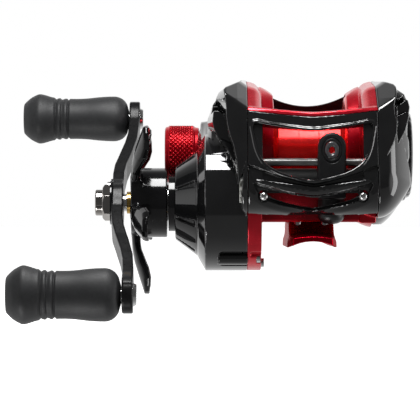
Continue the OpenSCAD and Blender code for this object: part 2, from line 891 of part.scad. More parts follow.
frame();
reel_foot();
foot_screws();
front_hood();
hood_screws();
handle_side_cover();
palm_side_cover();
cover_screws();
guide_rail();
worm_guard();
worm_bushes();
spool_bearings();
main_shaft_bearing();
one_way_bearing();
crank_bearing();
bearing_retainer();
yoke_springs();
drive_shaft();
levelwind_cog();
ratchet();
drive_gear();
drag_washers();
key_washer();
clutch_sleeve();
spring_washers();
handle_arm();
handle_nut();
nut_retainer();
retainer_screw();
knob_spindles();
star_drag();
star_nut();
lower_knob();
lower_knob_bushes();
lower_knob_cap();
upper_knob();
upper_knob_bushes();
upper_knob_cap();
spool();
spool_shaft();
shaft_pin();
pinion_gear();
clutch_yoke();
clutch_cam();
thumb_bar();
clutch_plate();
worm_shaft();
worm_cog();
line_guide();
guide_insert();
levelwind_pawl();
pawl_cap();
brake_dial();
magnet_carrier();
brake_magnets();
tension_cap();
tension_shims();
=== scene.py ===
"""Baitcasting reel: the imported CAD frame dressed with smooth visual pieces, materials, light and camera."""

import math

import bpy
import numpy as np
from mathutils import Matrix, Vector


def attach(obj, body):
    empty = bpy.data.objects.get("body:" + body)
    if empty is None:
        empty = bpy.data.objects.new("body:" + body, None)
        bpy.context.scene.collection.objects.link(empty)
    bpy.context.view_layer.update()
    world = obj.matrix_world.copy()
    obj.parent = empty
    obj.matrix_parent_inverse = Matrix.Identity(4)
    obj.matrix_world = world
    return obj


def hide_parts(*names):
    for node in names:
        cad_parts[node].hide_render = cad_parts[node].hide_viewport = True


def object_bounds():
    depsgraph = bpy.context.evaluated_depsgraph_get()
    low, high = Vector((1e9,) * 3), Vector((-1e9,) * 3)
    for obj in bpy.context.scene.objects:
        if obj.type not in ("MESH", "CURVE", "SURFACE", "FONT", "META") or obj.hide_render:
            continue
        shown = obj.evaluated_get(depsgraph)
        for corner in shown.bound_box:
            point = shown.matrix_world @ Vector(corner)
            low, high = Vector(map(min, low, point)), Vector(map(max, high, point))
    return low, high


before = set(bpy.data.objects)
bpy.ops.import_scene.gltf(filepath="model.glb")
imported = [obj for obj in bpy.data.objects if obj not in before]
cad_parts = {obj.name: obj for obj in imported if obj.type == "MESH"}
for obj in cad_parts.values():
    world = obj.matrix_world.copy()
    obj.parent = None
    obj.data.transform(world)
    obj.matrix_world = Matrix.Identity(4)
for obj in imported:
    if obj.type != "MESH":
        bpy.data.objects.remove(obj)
start_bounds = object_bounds()

MM = 0.001

# Axes as (y, z) and the body's outline as rings (y, z, radius), in millimetres
DRIVE = (-7.0, 11.4)
SPOOL = (6.0, 26.2)
WORM = (-25.0, 17.5)
RAIL = (-27.0, 23.2)
CROWN = (6.0, 26.2, 22.4)
BROW = (-13.0, 36.4, 10.0)
NOSE_TOP = (-26.0, 37.2, 2.6)
NOSE_LOW = (-24.0, 17.3, 10.5)
REAR_LOW = (20.0, 18.0, 11.4)
REAR_TOP = (20.0, 27.0, 12.0)
BODY = (CROWN, BROW, NOSE_TOP, NOSE_LOW, REAR_LOW, REAR_TOP)

# Half the body's width between its covers, and the walls' inner faces
HALF = 19.0
INNER = 14.8
# The hood's top edge at the walls, and how far it and the red rim dip in the middle
SEAM_TOP = 38.2
SEAM_DIP = 1.9
RIM_DIP = 1.83
# The low screw that holds the handle-side cover, as (y, z)
LOW_SCREW = (-17.23, -4.97)
# The arm's lean from upright, lower end forward
LEAN = math.radians(54)


# ---- signed distances, in millimetres ----


def smax(a, b, r):
    """Intersection with a rounded edge of radius r."""
    return np.minimum(-r, np.maximum(a, b)) + np.sqrt(
        np.maximum(r + a, 0) ** 2 + np.maximum(r + b, 0) ** 2
    )


def smin(a, b, r):
    """Union with a fillet of radius r."""
    return -smax(-a, -b, r)


def cut(a, b, r=0.2):
    """a without b, with the new edge rounded by r."""
    return smax(a, -b, r)


def slab(x, x0, x1):
    return np.abs(x - (x0 + x1) / 2) - (x1 - x0) / 2


def disc(u, v, at, r):
    return np.hypot(u - at[0], v - at[1]) - r


def box(x, y, z, lo, hi, r=0.0):
    q = [
        np.abs(p - (a + b) / 2) - (b - a) / 2 + r for p, a, b in zip((x, y, z), lo, hi)
    ]
    outside = np.sqrt(sum(np.maximum(c, 0) ** 2 for c in q))
    return outside + np.minimum(np.maximum(np.maximum(q[0], q[1]), q[2]), 0) - r


def capsule(u, v, a, b):
    """Two circles (u, v, r) and the straight band that touches both."""
    bu, bv = b[0] - a[0], b[1] - a[1]
    h = bu * bu + bv * bv
    pu, pv = u - a[0], v - a[1]
    qx = np.abs(pu * bv - pv * bu) / h
    qy = (pu * bu + pv * bv) / h
    d = a[2] - b[2]
    c = np.sqrt(np.maximum(h - d * d, 1e-9))
    k = c * qy - d * qx
    n = qx * qx + qy * qy
    low = np.sqrt(h * n) - a[2]
    high = np.sqrt(np.maximum(h * (n + 1 - 2 * qy), 0)) - b[2]
    side = c * qx + d * qy - a[2]
    return np.where(k < 0, low, np.where(k > c, high, side))


def wrap(u, v, rings, shrink=0.0):
    """The band pulled round a counter-clockwise chain of circles."""
    rings = [(r[0], r[1], r[2] - shrink) for r in rings]
    d = None
    for i, a in enumerate(rings):
        c = capsule(u, v, a, rings[(i + 1) % len(rings)])
        d = c if d is None else np.minimum(d, c)
    inside = polygon(u, v, [(r[0], r[1]) for r in rings])
    reach = min(r[2] for r in rings)
    d = np.minimum(d, inside - reach)
    return np.where(inside < 0, np.minimum(d, inside), d)


def polygon(u, v, points):
    """Signed distance to a closed outline."""
    d = None
    sign = 1.0
    for i, a in enumerate(points):
        b = points[i - 1]
        eu, ev = b[0] - a[0], b[1] - a[1]
        wu, wv = u - a[0], v - a[1]
        t = np.clip((wu * eu + wv * ev) / (eu * eu + ev * ev), 0, 1)
        q = (wu - eu * t) ** 2 + (wv - ev * t) ** 2
        d = q if d is None else np.minimum(d, q)
        over, under = v >= a[1], v < b[1]
        left = eu * wv > ev * wu
        flip = (over & under & left) | (~over & ~under & ~left)
        sign = sign * np.where(flip, -1.0, 1.0)
    return sign * np.sqrt(d)


def curve(points, steps, closed=True):
    """A smooth line through the points."""
    p = [np.array(q, float) for q in points]
    n = len(p)
    out = []
    for i in range(n if closed else n - 1):
        if closed:
            a, b, c, d = p[i - 1], p[i], p[(i + 1) % n], p[(i + 2) % n]
        else:
            a, b, c, d = p[max(i - 1, 0)], p[i], p[i + 1], p[min(i + 2, n - 1)]
        for k in range(steps):
            t = k / steps
            q = 2 * b + (c - a) * t + (2 * a - 5 * b + 4 * c - d) * t * t
            out.append(tuple((q + (3 * b - a - 3 * c + d) * t**3) / 2))
    if not closed:
        out.append(tuple(p[-1]))
    return out


def step(d, width):
    """1 well inside a region (d negative), 0 outside, smooth over the width."""
    t = np.clip(0.5 - d / width, 0, 1)
    return t * t * (3 - 2 * t)


def profile(t, points):
    """Piecewise linear value along t."""
    return np.interp(t, [p[0] for p in points], [p[1] for p in points])


# ---- turning distances into meshes ----

CORNERS = [(i, j, k) for i in (0, 1) for j in (0, 1) for k in (0, 1)]
EDGES = [
    (a, b)
    for a in CORNERS
    for b in CORNERS
    if sum(abs(p - q) for p, q in zip(a, b)) == 1 and a < b
]


def gradient(f, p, e=0.04):
    g = np.empty_like(p)
    for i in range(3):
        q = [p[:, 0], p[:, 1], p[:, 2]]
        q[i] = p[:, i] + e
        hi = f(*q)
        q[i] = p[:, i] - e
        g[:, i] = (hi - f(*q)) / (2 * e)
    return g


def settle(f, p, limit, rounds):
    """Moves points onto the surface."""
    for _ in range(rounds):
        g = gradient(f, p)
        n2 = np.maximum((g * g).sum(1), 0.05)
        move = -(f(p[:, 0], p[:, 1], p[:, 2]) / n2)[:, None] * g
        size = np.linalg.norm(move, axis=1)
        p = p + move * np.minimum(1, limit / np.maximum(size, 1e-9))[:, None]
    return p


def nets(f, lo, hi, h, relax=2):
    """Surface of f = 0 as vertices, quads and unit normals."""
    axes = [np.arange(a - 1.5 * h, b + 2 * h, h) for a, b in zip(lo, hi)]
    shape = tuple(len(a) for a in axes)
    v = np.broadcast_to(
        f(axes[0][:, None, None], axes[1][None, :, None], axes[2][None, None, :]), shape
    ).astype(np.float32)
    inside = v < 0
    cells = tuple(s - 1 for s in shape)

    def corner(arr, c):
        return arr[
            c[0] : c[0] + cells[0], c[1] : c[1] + cells[1], c[2] : c[2] + cells[2]
        ]

    count = sum(corner(inside, c).astype(np.int8) for c in CORNERS)
    mixed = (count > 0) & (count < 8)
    index = np.full(cells, -1, np.int64)
    n = int(mixed.sum())
    index[mixed] = np.arange(n)
    where = np.argwhere(mixed).astype(float)
    value = {c: corner(v, c)[mixed].astype(float) for c in CORNERS}
    total, hits = np.zeros((n, 3)), np.zeros(n)
    for a, b in EDGES:
        cross = (value[a] < 0) != (value[b] < 0)
        t = value[a] / np.where(cross, value[a] - value[b], 1.0)
        q = np.array(a, float) + t[:, None] * (np.array(b, float) - np.array(a, float))
        total += np.where(cross[:, None], q, 0)
        hits += cross
    p = (where + total / hits[:, None]) * h + np.array([a[0] for a in axes])
    faces = []
    for axis in range(3):
        one = [slice(None)] * 3
        two = [slice(None)] * 3
        one[axis], two[axis] = slice(0, -1), slice(1, None)
        s = inside[tuple(one)] != inside[tuple(two)]
        at = np.argwhere(s)
        u, w = (axis + 1) % 3, (axis + 2) % 3
        ok = (at[:, u] > 0) & (at[:, w] > 0)
        ok &= (at[:, u] < cells[u]) & (at[:, w] < cells[w])
        at = at[ok]
        quad = []
        for du, dw in ((-1, -1), (0, -1), (0, 0), (-1, 0)):
            c = at.copy()
            c[:, u] += du
            c[:, w] += dw
            quad.append(index[c[:, 0], c[:, 1], c[:, 2]])
        quad = np.stack(quad, 1)
        outward = inside[at[:, 0], at[:, 1], at[:, 2]]
        quad[~outward] = quad[~outward][:, ::-1]
        faces.append(quad)
    faces = np.concatenate(faces)
    p = settle(f, p, 0.5 * h, 2)
    for _ in range(relax):
        total, hits = np.zeros((n, 3)), np.zeros(n)
        for i in range(4):
            a, b = faces[:, i], faces[:, (i + 1) % 4]
            for k in range(3):
                total[:, k] += np.bincount(a, p[b, k], n) + np.bincount(b, p[a, k], n)
            hits += np.bincount(a, minlength=n) + np.bincount(b, minlength=n)
        p = p + 0.4 * (total / np.maximum(hits, 1)[:, None] - p)
        p = settle(f, p, 0.5 * h, 1)
    g = gradient(f, p)
    return p, faces, g / np.maximum(np.linalg.norm(g, axis=1), 1e-9)[:, None]


def make_piece(name, p, quads, normals=None):
    """A smooth object from points in millimetres and quads."""
    mesh = bpy.data.meshes.new(name)
    mesh.vertices.add(len(p))
    mesh.vertices.foreach_set("co", (p * MM).ravel())
    mesh.loops.add(quads.size)
    mesh.loops.foreach_set("vertex_index", quads.astype(np.int32).ravel())
    mesh.polygons.add(len(quads))
    mesh.polygons.foreach_set("loop_start", np.arange(len(quads), dtype=np.int32) * 4)
    mesh.polygons.foreach_set("use_smooth", np.ones(len(quads), bool))
    mesh.update(calc_edges=True)
    mesh.validate()
    if normals is not None:
        mesh.normals_split_custom_set_from_vertices(normals.tolist())
    piece = bpy.data.objects.new(name, mesh)
    bpy.context.scene.collection.objects.link(piece)
    return piece


def sculpt(name, f, lo, hi, h, relax=2):
    return make_piece(name, *nets(f, lo, hi, h, relax))


def turned(name, at, line, sides=96, axis="x", bulge=None):
    """A turned piece from (position along the axis, radius) points.

    bulge gives the radius's factor by position and angle.
    """
    # Extra rings beside the corners keep the flats' shading flat
    full = [line[0]]
    for q, r in zip(line, line[1:]):
        length = math.dist(q, r)
        if length > 0.6:
            for t in (0.1 / length, 1 - 0.1 / length):
                full.append((q[0] + (r[0] - q[0]) * t, q[1] + (r[1] - q[1]) * t))
        full.append(r)
    full = np.array(full, float)
    a = np.arange(sides) * 2 * math.pi / sides
    s = np.repeat(full[:, :1], sides, axis=1)
    r = np.repeat(full[:, 1:], sides, axis=1)
    if bulge is not None:
        r = r * bulge(s, a[None, :] * np.ones_like(s))
    u, v = at[0] + r * np.cos(a), at[1] + r * np.sin(a)
    order = {"x": (s, u, v), "y": (u, s, v), "z": (u, v, s)}[axis]
    p = np.stack(order, -1).reshape(-1, 3)
    i, j = np.meshgrid(np.arange(len(full) - 1), np.arange(sides), indexing="ij")
    k = (j + 1) % sides
    corners = (i * sides + j, i * sides + k, (i + 1) * sides + k, (i + 1) * sides + j)
    return make_piece(name, p, np.stack(corners, -1).reshape(-1, 4))


# ---- materials ----


class Finish:
    """A node-based material with the nodes at hand."""

    def __init__(self, name):
        self.material = bpy.data.materials.new(name)
        self.material.use_nodes = True
        self.tree = self.material.node_tree
        self.shader = self.tree.nodes["Principled BSDF"]

    def add(self, kind, **values):
        node = self.tree.nodes.new(kind)
        for key, value in values.items():
            setattr(node, key, value)
        return node

    def link(self, a, b):
        self.tree.links.new(a, b)

    def noise(self, scale, detail=4.0, roughness=0.55):
        """Noise over the object's own coordinates, scale per metre."""
        place = self.add("ShaderNodeTexCoord")
        node = self.add("ShaderNodeTexNoise")
        node.inputs["Scale"].default_value = scale
        node.inputs["Detail"].default_value = detail
        node.inputs["Roughness"].default_value = roughness
        self.link(place.outputs["Object"], node.inputs["Vector"])
        return node.outputs["Fac"]

    def ramp(self, source, low, high):
        """Maps a 0 to 1 value from low to high; both numbers or both colours."""
        node = self.add("ShaderNodeValToRGB")
        for element, value in zip(node.color_ramp.elements, (low, high)):
            if not hasattr(value, "__len__"):
                value = (value, value, value)
            element.color = (*value, 1)
        node.color_ramp.elements[0].position = 0.3
        node.color_ramp.elements[1].position = 0.7
        self.link(source, node.inputs["Fac"])
        return node.outputs["Color"]

    def bump(self, height, strength, distance):
        node = self.add("ShaderNodeBump")
        node.inputs["Strength"].default_value = strength
        node.inputs["Distance"].default_value = distance
        self.link(height, node.inputs["Height"])
        self.link(node.outputs["Normal"], self.shader.inputs["Normal"])

    def set(self, **values):
        for key, value in values.items():
            socket = self.shader.inputs[key.replace("_", " ")]
            socket.default_value = (*value, 1) if hasattr(value, "__len__") else value
        return self


def finish_of(name, colours, rough, grain, bump, **values):
    """Colour and roughness wander with noise, and a fine grain bumps the surface."""
    f = Finish(name)
    cloud = f.noise(grain / 6)
    f.link(f.ramp(cloud, *colours), f.shader.inputs["Base Color"])
    f.link(f.ramp(f.noise(grain / 2), *rough), f.shader.inputs["Roughness"])
    f.bump(f.noise(grain, 2.0), bump[0], bump[1])
    f.set(**values)
    return f


LOOK = {
    "gloss": finish_of(
        "gloss_black_plastic",
        ((0.0065, 0.0065, 0.007), (0.009, 0.0092, 0.0096)),
        (0.045, 0.075),
        900,
        (0.05, 0.00002),
        IOR=1.55,
        Coat_Weight=0.5,
        Coat_Roughness=0.03,
    ),
    "black_metal": finish_of(
        "gloss_black_metal",
        ((0.003, 0.003, 0.0035), (0.006, 0.006, 0.0065)),
        (0.08, 0.13),
        1800,
        (0.08, 0.00002),
        IOR=1.48,
    ),
    "arm": finish_of(
        "arm_black_metal",
        ((0.006, 0.006, 0.0065), (0.01, 0.01, 0.0105)),
        (0.26, 0.34),
        1800,
        (0.08, 0.00002),
        IOR=1.3,
    ),
    "satin": finish_of(
        "satin_black",
        ((0.008, 0.008, 0.009), (0.014, 0.014, 0.015)),
        (0.32, 0.42),
        2500,
        (0.12, 0.00003),
    ),
    "red": finish_of(
        "red_anodised",
        ((0.46, 0.0015, 0.012), (0.56, 0.003, 0.017)),
        (0.2, 0.28),
        1500,
        (0.06, 0.00002),
        Metallic=0.6,
        Coat_Weight=0.2,
        Coat_Roughness=0.05,
    ),
    "foot_red": finish_of(
        "foot_red_anodised",
        ((0.36, 0.0012, 0.01), (0.46, 0.0025, 0.015)),
        (0.24, 0.32),
        1500,
        (0.06, 0.00002),
        Metallic=0.9,
        Specular_Tint=(0.45, 0.02, 0.03),
    ),
    "spool_red": finish_of(
        "spool_red_anodised",
        ((0.72, 0.012, 0.012), (0.85, 0.02, 0.018)),
        (0.16, 0.24),
        1500,
        (0.05, 0.00002),
        Metallic=0.75,
    ),
    "knurl_red": finish_of(
        "knurled_red_anodised",
        ((0.44, 0.0015, 0.009), (0.54, 0.0025, 0.013)),
        (0.22, 0.3),
        2500,
        (0.06, 0.00002),
        Metallic=0.6,
    ),
    "rubber": finish_of(
        "knob_rubber",
        ((0.019, 0.0195, 0.0205), (0.025, 0.0255, 0.027)),
        (0.5, 0.6),
        5000,
        (0.25, 0.00004),
        Specular_IOR_Level=0.45,
    ),
    "steel": finish_of(
        "bright_steel",
        ((0.6, 0.6, 0.6), (0.72, 0.72, 0.72)),
        (0.14, 0.24),
        3000,
        (0.08, 0.00002),
        Metallic=1.0,
    ),
    "grey_steel": finish_of(
        "grey_rail_steel",
        ((0.22, 0.22, 0.22), (0.3, 0.3, 0.29)),
        (0.3, 0.4),
        3000,
        (0.08, 0.00002),
        Metallic=0.8,
    ),
    "chrome": finish_of(
        "chrome_plate",
        ((0.78, 0.77, 0.76), (0.86, 0.85, 0.84)),
        (0.05, 0.09),
        1200,
        (0.04, 0.00002),
        Metallic=1.0,
    ),
    "dark_chrome": finish_of(
        "dark_chrome_plate",
        ((0.36, 0.34, 0.32), (0.46, 0.44, 0.42)),
        (0.06, 0.12),
        1200,
        (0.04, 0.00002),
        Metallic=1.0,
    ),
    "guard": finish_of(
        "matt_black_guard",
        ((0.003, 0.003, 0.003), (0.005, 0.005, 0.005)),
        (0.5, 0.6),
        2500,
        (0.12, 0.00003),
        Specular_IOR_Level=0.15,
    ),
    "brass": finish_of(
        "brass",
        ((0.5, 0.32, 0.08), (0.62, 0.4, 0.12)),
        (0.18, 0.28),
        3000,
        (0.08, 0.00002),
        Metallic=1.0,
    ),
    "nylon": finish_of(
        "white_nylon",
        ((0.7, 0.7, 0.66), (0.78, 0.78, 0.74)),
        (0.4, 0.5),
        3000,
        (0.1, 0.00003),
    ),
    "carbon": finish_of(
        "carbon_washer",
        ((0.02, 0.02, 0.02), (0.05, 0.05, 0.05)),
        (0.4, 0.55),
        4000,
        (0.2, 0.00004),
    ),
    "ceramic": finish_of(
        "dark_ceramic",
        ((0.05, 0.05, 0.055), (0.075, 0.075, 0.08)),
        (0.06, 0.1),
        1500,
        (0.04, 0.00002),
        IOR=1.9,
    ),
}


def dress(piece, body, look, slot, *nodes):
    """Gives a piece its finish and puts it in place of CAD nodes."""
    piece.data.materials.append(LOOK[look].material)
    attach(piece, body)
    if nodes:
        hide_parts(*nodes)
    return piece


# ---- frame ----


def middle(x):
    """1 in the middle of the front, 0 at the side walls."""
    return 1 - np.minimum(np.abs(x) / HALF, 1.0) ** 1.3


def frame_shape(x, y, z):
    ax = np.abs(x)
    outline = wrap(y, z, BODY)
    r = disc(y, z, SPOOL, 0.0)
    # Top of the walls slopes down towards the spool
    slope = 0.2 + 4.6 * np.clip((HALF - ax) / 9, 0, 1) ** 1.5
    dip = middle(x)
    seam = SEAM_TOP + 0.06 - SEAM_DIP * dip
    walls = smax(outline + slope, np.minimum(-(y + 23.9), seam - z), 0.1)
    inner = smax(wrap(y, z, BODY, 1.95), slab(y, -31.4, -20), 0.2)
    walls = np.minimum(walls, np.maximum(inner, z - 37.6 + SEAM_DIP * dip))
    walls = smax(walls, INNER - ax, np.where(z > 36, 2.2, 0.3))
    right = smax(walls, x - HALF + 0.03, 0.3)
    right = cut(np.maximum(right, -x), r - 18.0, 0.5)
    low_wall = smax(disc(y, z, DRIVE, 20.3), -(y + 31), 0.2)
    left = smin(walls, smax(low_wall, INNER - ax, 0.3), 0.05)
    left = smax(np.maximum(left, x), -x - HALF + 0.03, 0.3)
    body = np.minimum(left, right)
    # Lips round the spool
    lip = np.maximum(r - profile(ax, [(11, 19.5), (14.8, 20.6), (15.2, 20.6)]), 18.0 - r)
    lip = smax(lip, slab(ax, 11.0, 15.2), 0.35)
    body = smin(body, smax(lip, outline + slope, 0.3), 0.4)
    # Floor, rear bar, front rim and the low bar
    floor = box(x, y, z, (-15, -20.2, 5.62), (15, 26, 8.7), 0.4)
    body = smin(body, cut(floor, r - 18.0, 0.3), 0.5)
    rear = polygon(y, z, [(22, 7), (26, 7), (30, 11), (30.5, 17), (27.5, 17), (22, 10.5)])
    body = smin(body, smax(rear, ax - 15, 0.3), 0.5)
    flush = wrap(y + 1.1 * (1 - (x / HALF) ** 2), z, BODY)
    front = np.maximum(np.maximum(flush, -(flush + 2.6)), seam - z)
    front = np.maximum(front, slab(x, -HALF + 0.03, HALF - 0.03))
    front = smax(front, z - 39.6 + RIM_DIP * dip, 0.5)
    body = smin(body, np.maximum(front, y + 17), 0.3)
    rim = polygon(
        y + 3.6 * dip,
        z + RIM_DIP * dip,
        [(-23.9, 34.2), (-24.1, 38.4), (-23.4, 39.2), (-21.4, 39.5), (-16, 39.3), (-16, 36.8), (-20, 34.2)],
    )
    body = smin(body, smax(rim - 0.1, ax - 16, 0.3), 0.8)
    corner = box(x, y, z, (14.1, -21, 5.3), (18.9, -14, 9), 0.4)
    body = smin(body, corner, 0.3)
    low = polygon(y, z, [(-20.2, 6.2), (-18.8, 6.2), (-18.8, 14.6), (-20.2, 14.6)])
    body = smin(body, smax(low, ax - 15, 0.2), 0.2)
    # Openings
    tongue = box(x, y, z, (-30, 23.2, 26.4), (-INNER + 1, 29.3, 35.3))
    body = cut(body, tongue, 0.2)
    body = cut(body, np.maximum(disc(y, z, DRIVE, 4.0), x + INNER + 0.5), 0.2)
    body = cut(body, np.maximum(disc(y, z, SPOOL, 3.4), x), 0.2)
    body = cut(body, disc(y, z, WORM, 2.8), 0.15)
    body = cut(body, np.maximum(disc(y, z, LOW_SCREW, 1.75), -(x + 16.2)), 0.15)
    notch = box(x, y, z, (-18.2, -30, -7.2), (-14, -19.2, -3.2), 0.8)
    body = cut(body, notch, 0.3)
    for at in ((-11.84, 36.5), (-13.36, 19.15)):
        body = cut(body, np.maximum(disc(y, z, at, 1.55), ax - INNER), 0.1)
    return body


reel_frame = sculpt("frame_shell", frame_shape, (-19, -32, -9.5), (19, 33, 49), 0.34)
dress(reel_frame, "root", "red", "red_anodised", "frame")


# ---- foot ----


# Height of the foot's top along y
FOOT_TOP = [
    (-30, 1.0), (-24, 1.25), (-19, 2.2), (-16, 3.9), (-14.4, 5.6),
    (20, 5.6), (22, 3.9), (25, 2.2), (30, 1.0),
]


def foot_shape(x, y, z):
    saddle = np.hypot(x, z + 14.0)
    half = 7.3 - 0.05 * (z + 2)
    taper = profile(np.abs(y - 2), [(0, 0), (24, 0), (32, 1.4)])
    top = profile(y, FOOT_TOP)
    plate = saddle - (15.2 + 0.6 * np.clip(top - 1, 0, 1))
    stem = smax(z - top, slab(x, -6.7, 6.7), 0.5)
    solid = smin(plate, stem, 1.6)
    solid = smax(solid, slab(x, -half + taper, half - taper), 0.45)
    solid = smax(solid, slab(y, -30, 30), 0.6)
    solid = smax(solid, z - 5.58, 0.15)
    solid = cut(solid, saddle - 14.0, 0.3)
    return smax(solid, -(z + 2.0), 0.3)


foot = sculpt("foot_shell", foot_shape, (-7.6, -30, -2), (7.6, 30, 5.7), 0.32)
dress(foot, "root", "foot_red", "red_anodised", "reel_foot")


# ---- hood ----


def mirrored(right):
    """A smooth closed outline from its right half, given from the top's middle to the bottom's."""
    left = [(-x, z) for x, z in reversed(right[1:-1])]
    return curve(right + left, 3)


WINDOW = mirrored([
    (0, 32.2), (7, 33.0), (13, 33.9), (17.2, 34.5), (16.9, 30.5),
    (16.0, 26.6), (14.2, 23.2), (10.6, 20.6), (5.6, 18.9), (0, 17.9),
])
SMILE = mirrored([
    (0, 17.0), (6, 18.3), (12.2, 20.0), (18.7, 22.4), (18.6, 20.2), (18.0, 17.6),
    (16.6, 14.6), (14.6, 12.4), (10.2, 10.7), (5, 9.6), (0, 8.8),
])
RIB = mirrored([
    (0, 15.9), (6, 16.7), (12, 17.5), (16.2, 18.0), (16.6, 17.4),
    (16.0, 16.8), (12, 15.7), (8, 14.7), (4, 13.9), (0, 13.4),
])
LOW_SLOT = mirrored([
    (0, 12.7), (4, 13.2), (8, 13.9), (13.0, 14.9), (12.4, 13.2), (9.5, 11.9), (5, 10.8), (0, 10.0),
])


def hood_shape(x, y, z):
    bow = 1.1 * (1 - (x / HALF) ** 2)
    yb = y + bow
    outer = wrap(yb, z, BODY)
    front = step(y + 26, 2.0)
    smile = polygon(x, z, SMILE)
    rib = polygon(x, z, RIB)
    window = polygon(x, z, WINDOW)
    # The sunken smile has a crisp edge, with a soft bevel below it
    depth = 0.5 * step(smile - 0.9, 2.2) * step(z - 21, 3.0) + 1.1 * step(smile + 0.3, 0.6)
    depth = depth - (1.3 - 0.35 * np.abs(rib + 1.1)) * step(rib - 0.1, 0.5)
    # A raised lip follows the window
    depth = depth - 0.35 * step(window - 0.9, 0.5)
    shell = outer + depth * front
    shell = np.maximum(shell, -(outer + 1.9))
    shell = smax(shell, slab(x, -HALF + 0.08, HALF - 0.08), 0.3)
    shell = smax(shell, y + 24.3 + 3.7 * middle(x), 0.25)
    shell = smax(shell, z - SEAM_TOP + SEAM_DIP * middle(x), 0.1)
    shell = smax(shell, 6.9 - z, 0.25)
    ahead = y + 26
    shell = cut(shell, np.maximum(window, ahead), 0.35)
    shell = cut(shell, np.maximum(polygon(x, z, LOW_SLOT), ahead), 0.25)
    # Side flanges in front of the frame's walls
    flange = np.maximum(outer + 0.9, -(wrap(y, z, BODY) + 1.88))
    flange = np.maximum(flange, slab(np.abs(x), 14.65, 18.9))
    flange = np.maximum(flange, np.maximum(slab(z, 17, 35), y + 25.6))
    shell = np.minimum(shell, flange)
    under = np.maximum(z - 13.6, -(y + 29.1))
    shell = cut(shell, under, 0.1)
    for side in (-1, 1):
        shell = cut(shell, np.maximum(disc(x, z, (side * 14.4, 13.2), 1.65), y + 32.4), 0.2)
        shell = cut(shell, disc(x, z, (side * 14.4, 13.2), 0.9), 0.05)
    return shell


hood = sculpt("hood_shell", hood_shape, (-19, -36.4, 6.5), (19, -23.5, 38.6), 0.28)
dress(hood, "root", "gloss", "gloss_black", "front_hood")


def screw_heads(x, y, z):
    r = np.hypot(np.abs(x) - 14.4, z - 13.2)
    dome = np.hypot(r, (y + 33.2) * 1.2) - 1.25
    return smin(np.maximum(dome, y + 33.1), np.maximum(r - 0.75, slab(y, -33.4, -30.1)), 0.1)


heads = sculpt("hood_screw_heads", screw_heads, (-16.0, -34.5, 11.6), (16.0, -30.0, 14.8), 0.16)
dress(heads, "root", "steel", "chrome", "hood_screws")


# ---- handle-side cover ----

# Fronts of the two layered blades, as (x, z)
BLADE_A = [
    (-18.9, 49), (-20.6, 48.4), (-21.3, 47.4), (-25.3, 45.4), (-25.8, 44.6), (-25.6, 42.2),
    (-25.3, 39), (-25.3, 36.8), (-25.0, 34.2), (-24.2, 31), (-23.2, 28), (-22.4, 24.4),
    (-22.0, 21), (-21.8, 16.8), (-21.4, 17.2), (-19.4, 23.8), (-18.9, 24),
]
BLADE_B = [
    (-18.9, 46), (-26.2, 43.4), (-28.2, 41.8), (-29.0, 40.4), (-29.0, 37.8), (-29.2, 35.2),
    (-28.7, 33), (-27.9, 31), (-27, 29.4), (-25.1, 27.2), (-23.6, 24), (-22.7, 21.6),
    (-21.8, 16.8), (-18.9, 22),
]
LOW_NOSE = [(-18.9, 26), (-20.4, 20), (-20.9, 14), (-20.6, 9.4), (-18.9, 6.9)]
# How far the blades' edges turn outwards, by height
TURN_A = [(35.5, 0), (37, 0.07), (39, 0.17), (42, 0.23), (44, 0.14), (45.6, 0)]
TURN_B = [(31, 0), (34, 0.13), (36.5, 0.13), (39, 0.06), (41.5, 0)]
CROWN_LINE = [
    (-33.4, 9.0), (-32.6, 9.9), (-30.8, 10.1), (-29.6, 14.2),
    (-28.3, 15.0), (-26.0, 18.4), (-21.6, 21.2), (-19, 22.2),
]


def climb(z, away):
    """Height measured from a front ridge that climbs outwards, by the distance from the body."""
    return z - np.clip((z - 18) / 20, 0, 1.2) * 0.62 * np.minimum(away, 8.5)


def crown_radius(x):
    return profile(x, CROWN_LINE)


def drum_radius(x):
    return profile(x, [(-33.7, 16.2), (-31.5, 20.1), (-31.2, 20.4), (-19, 20.4)])


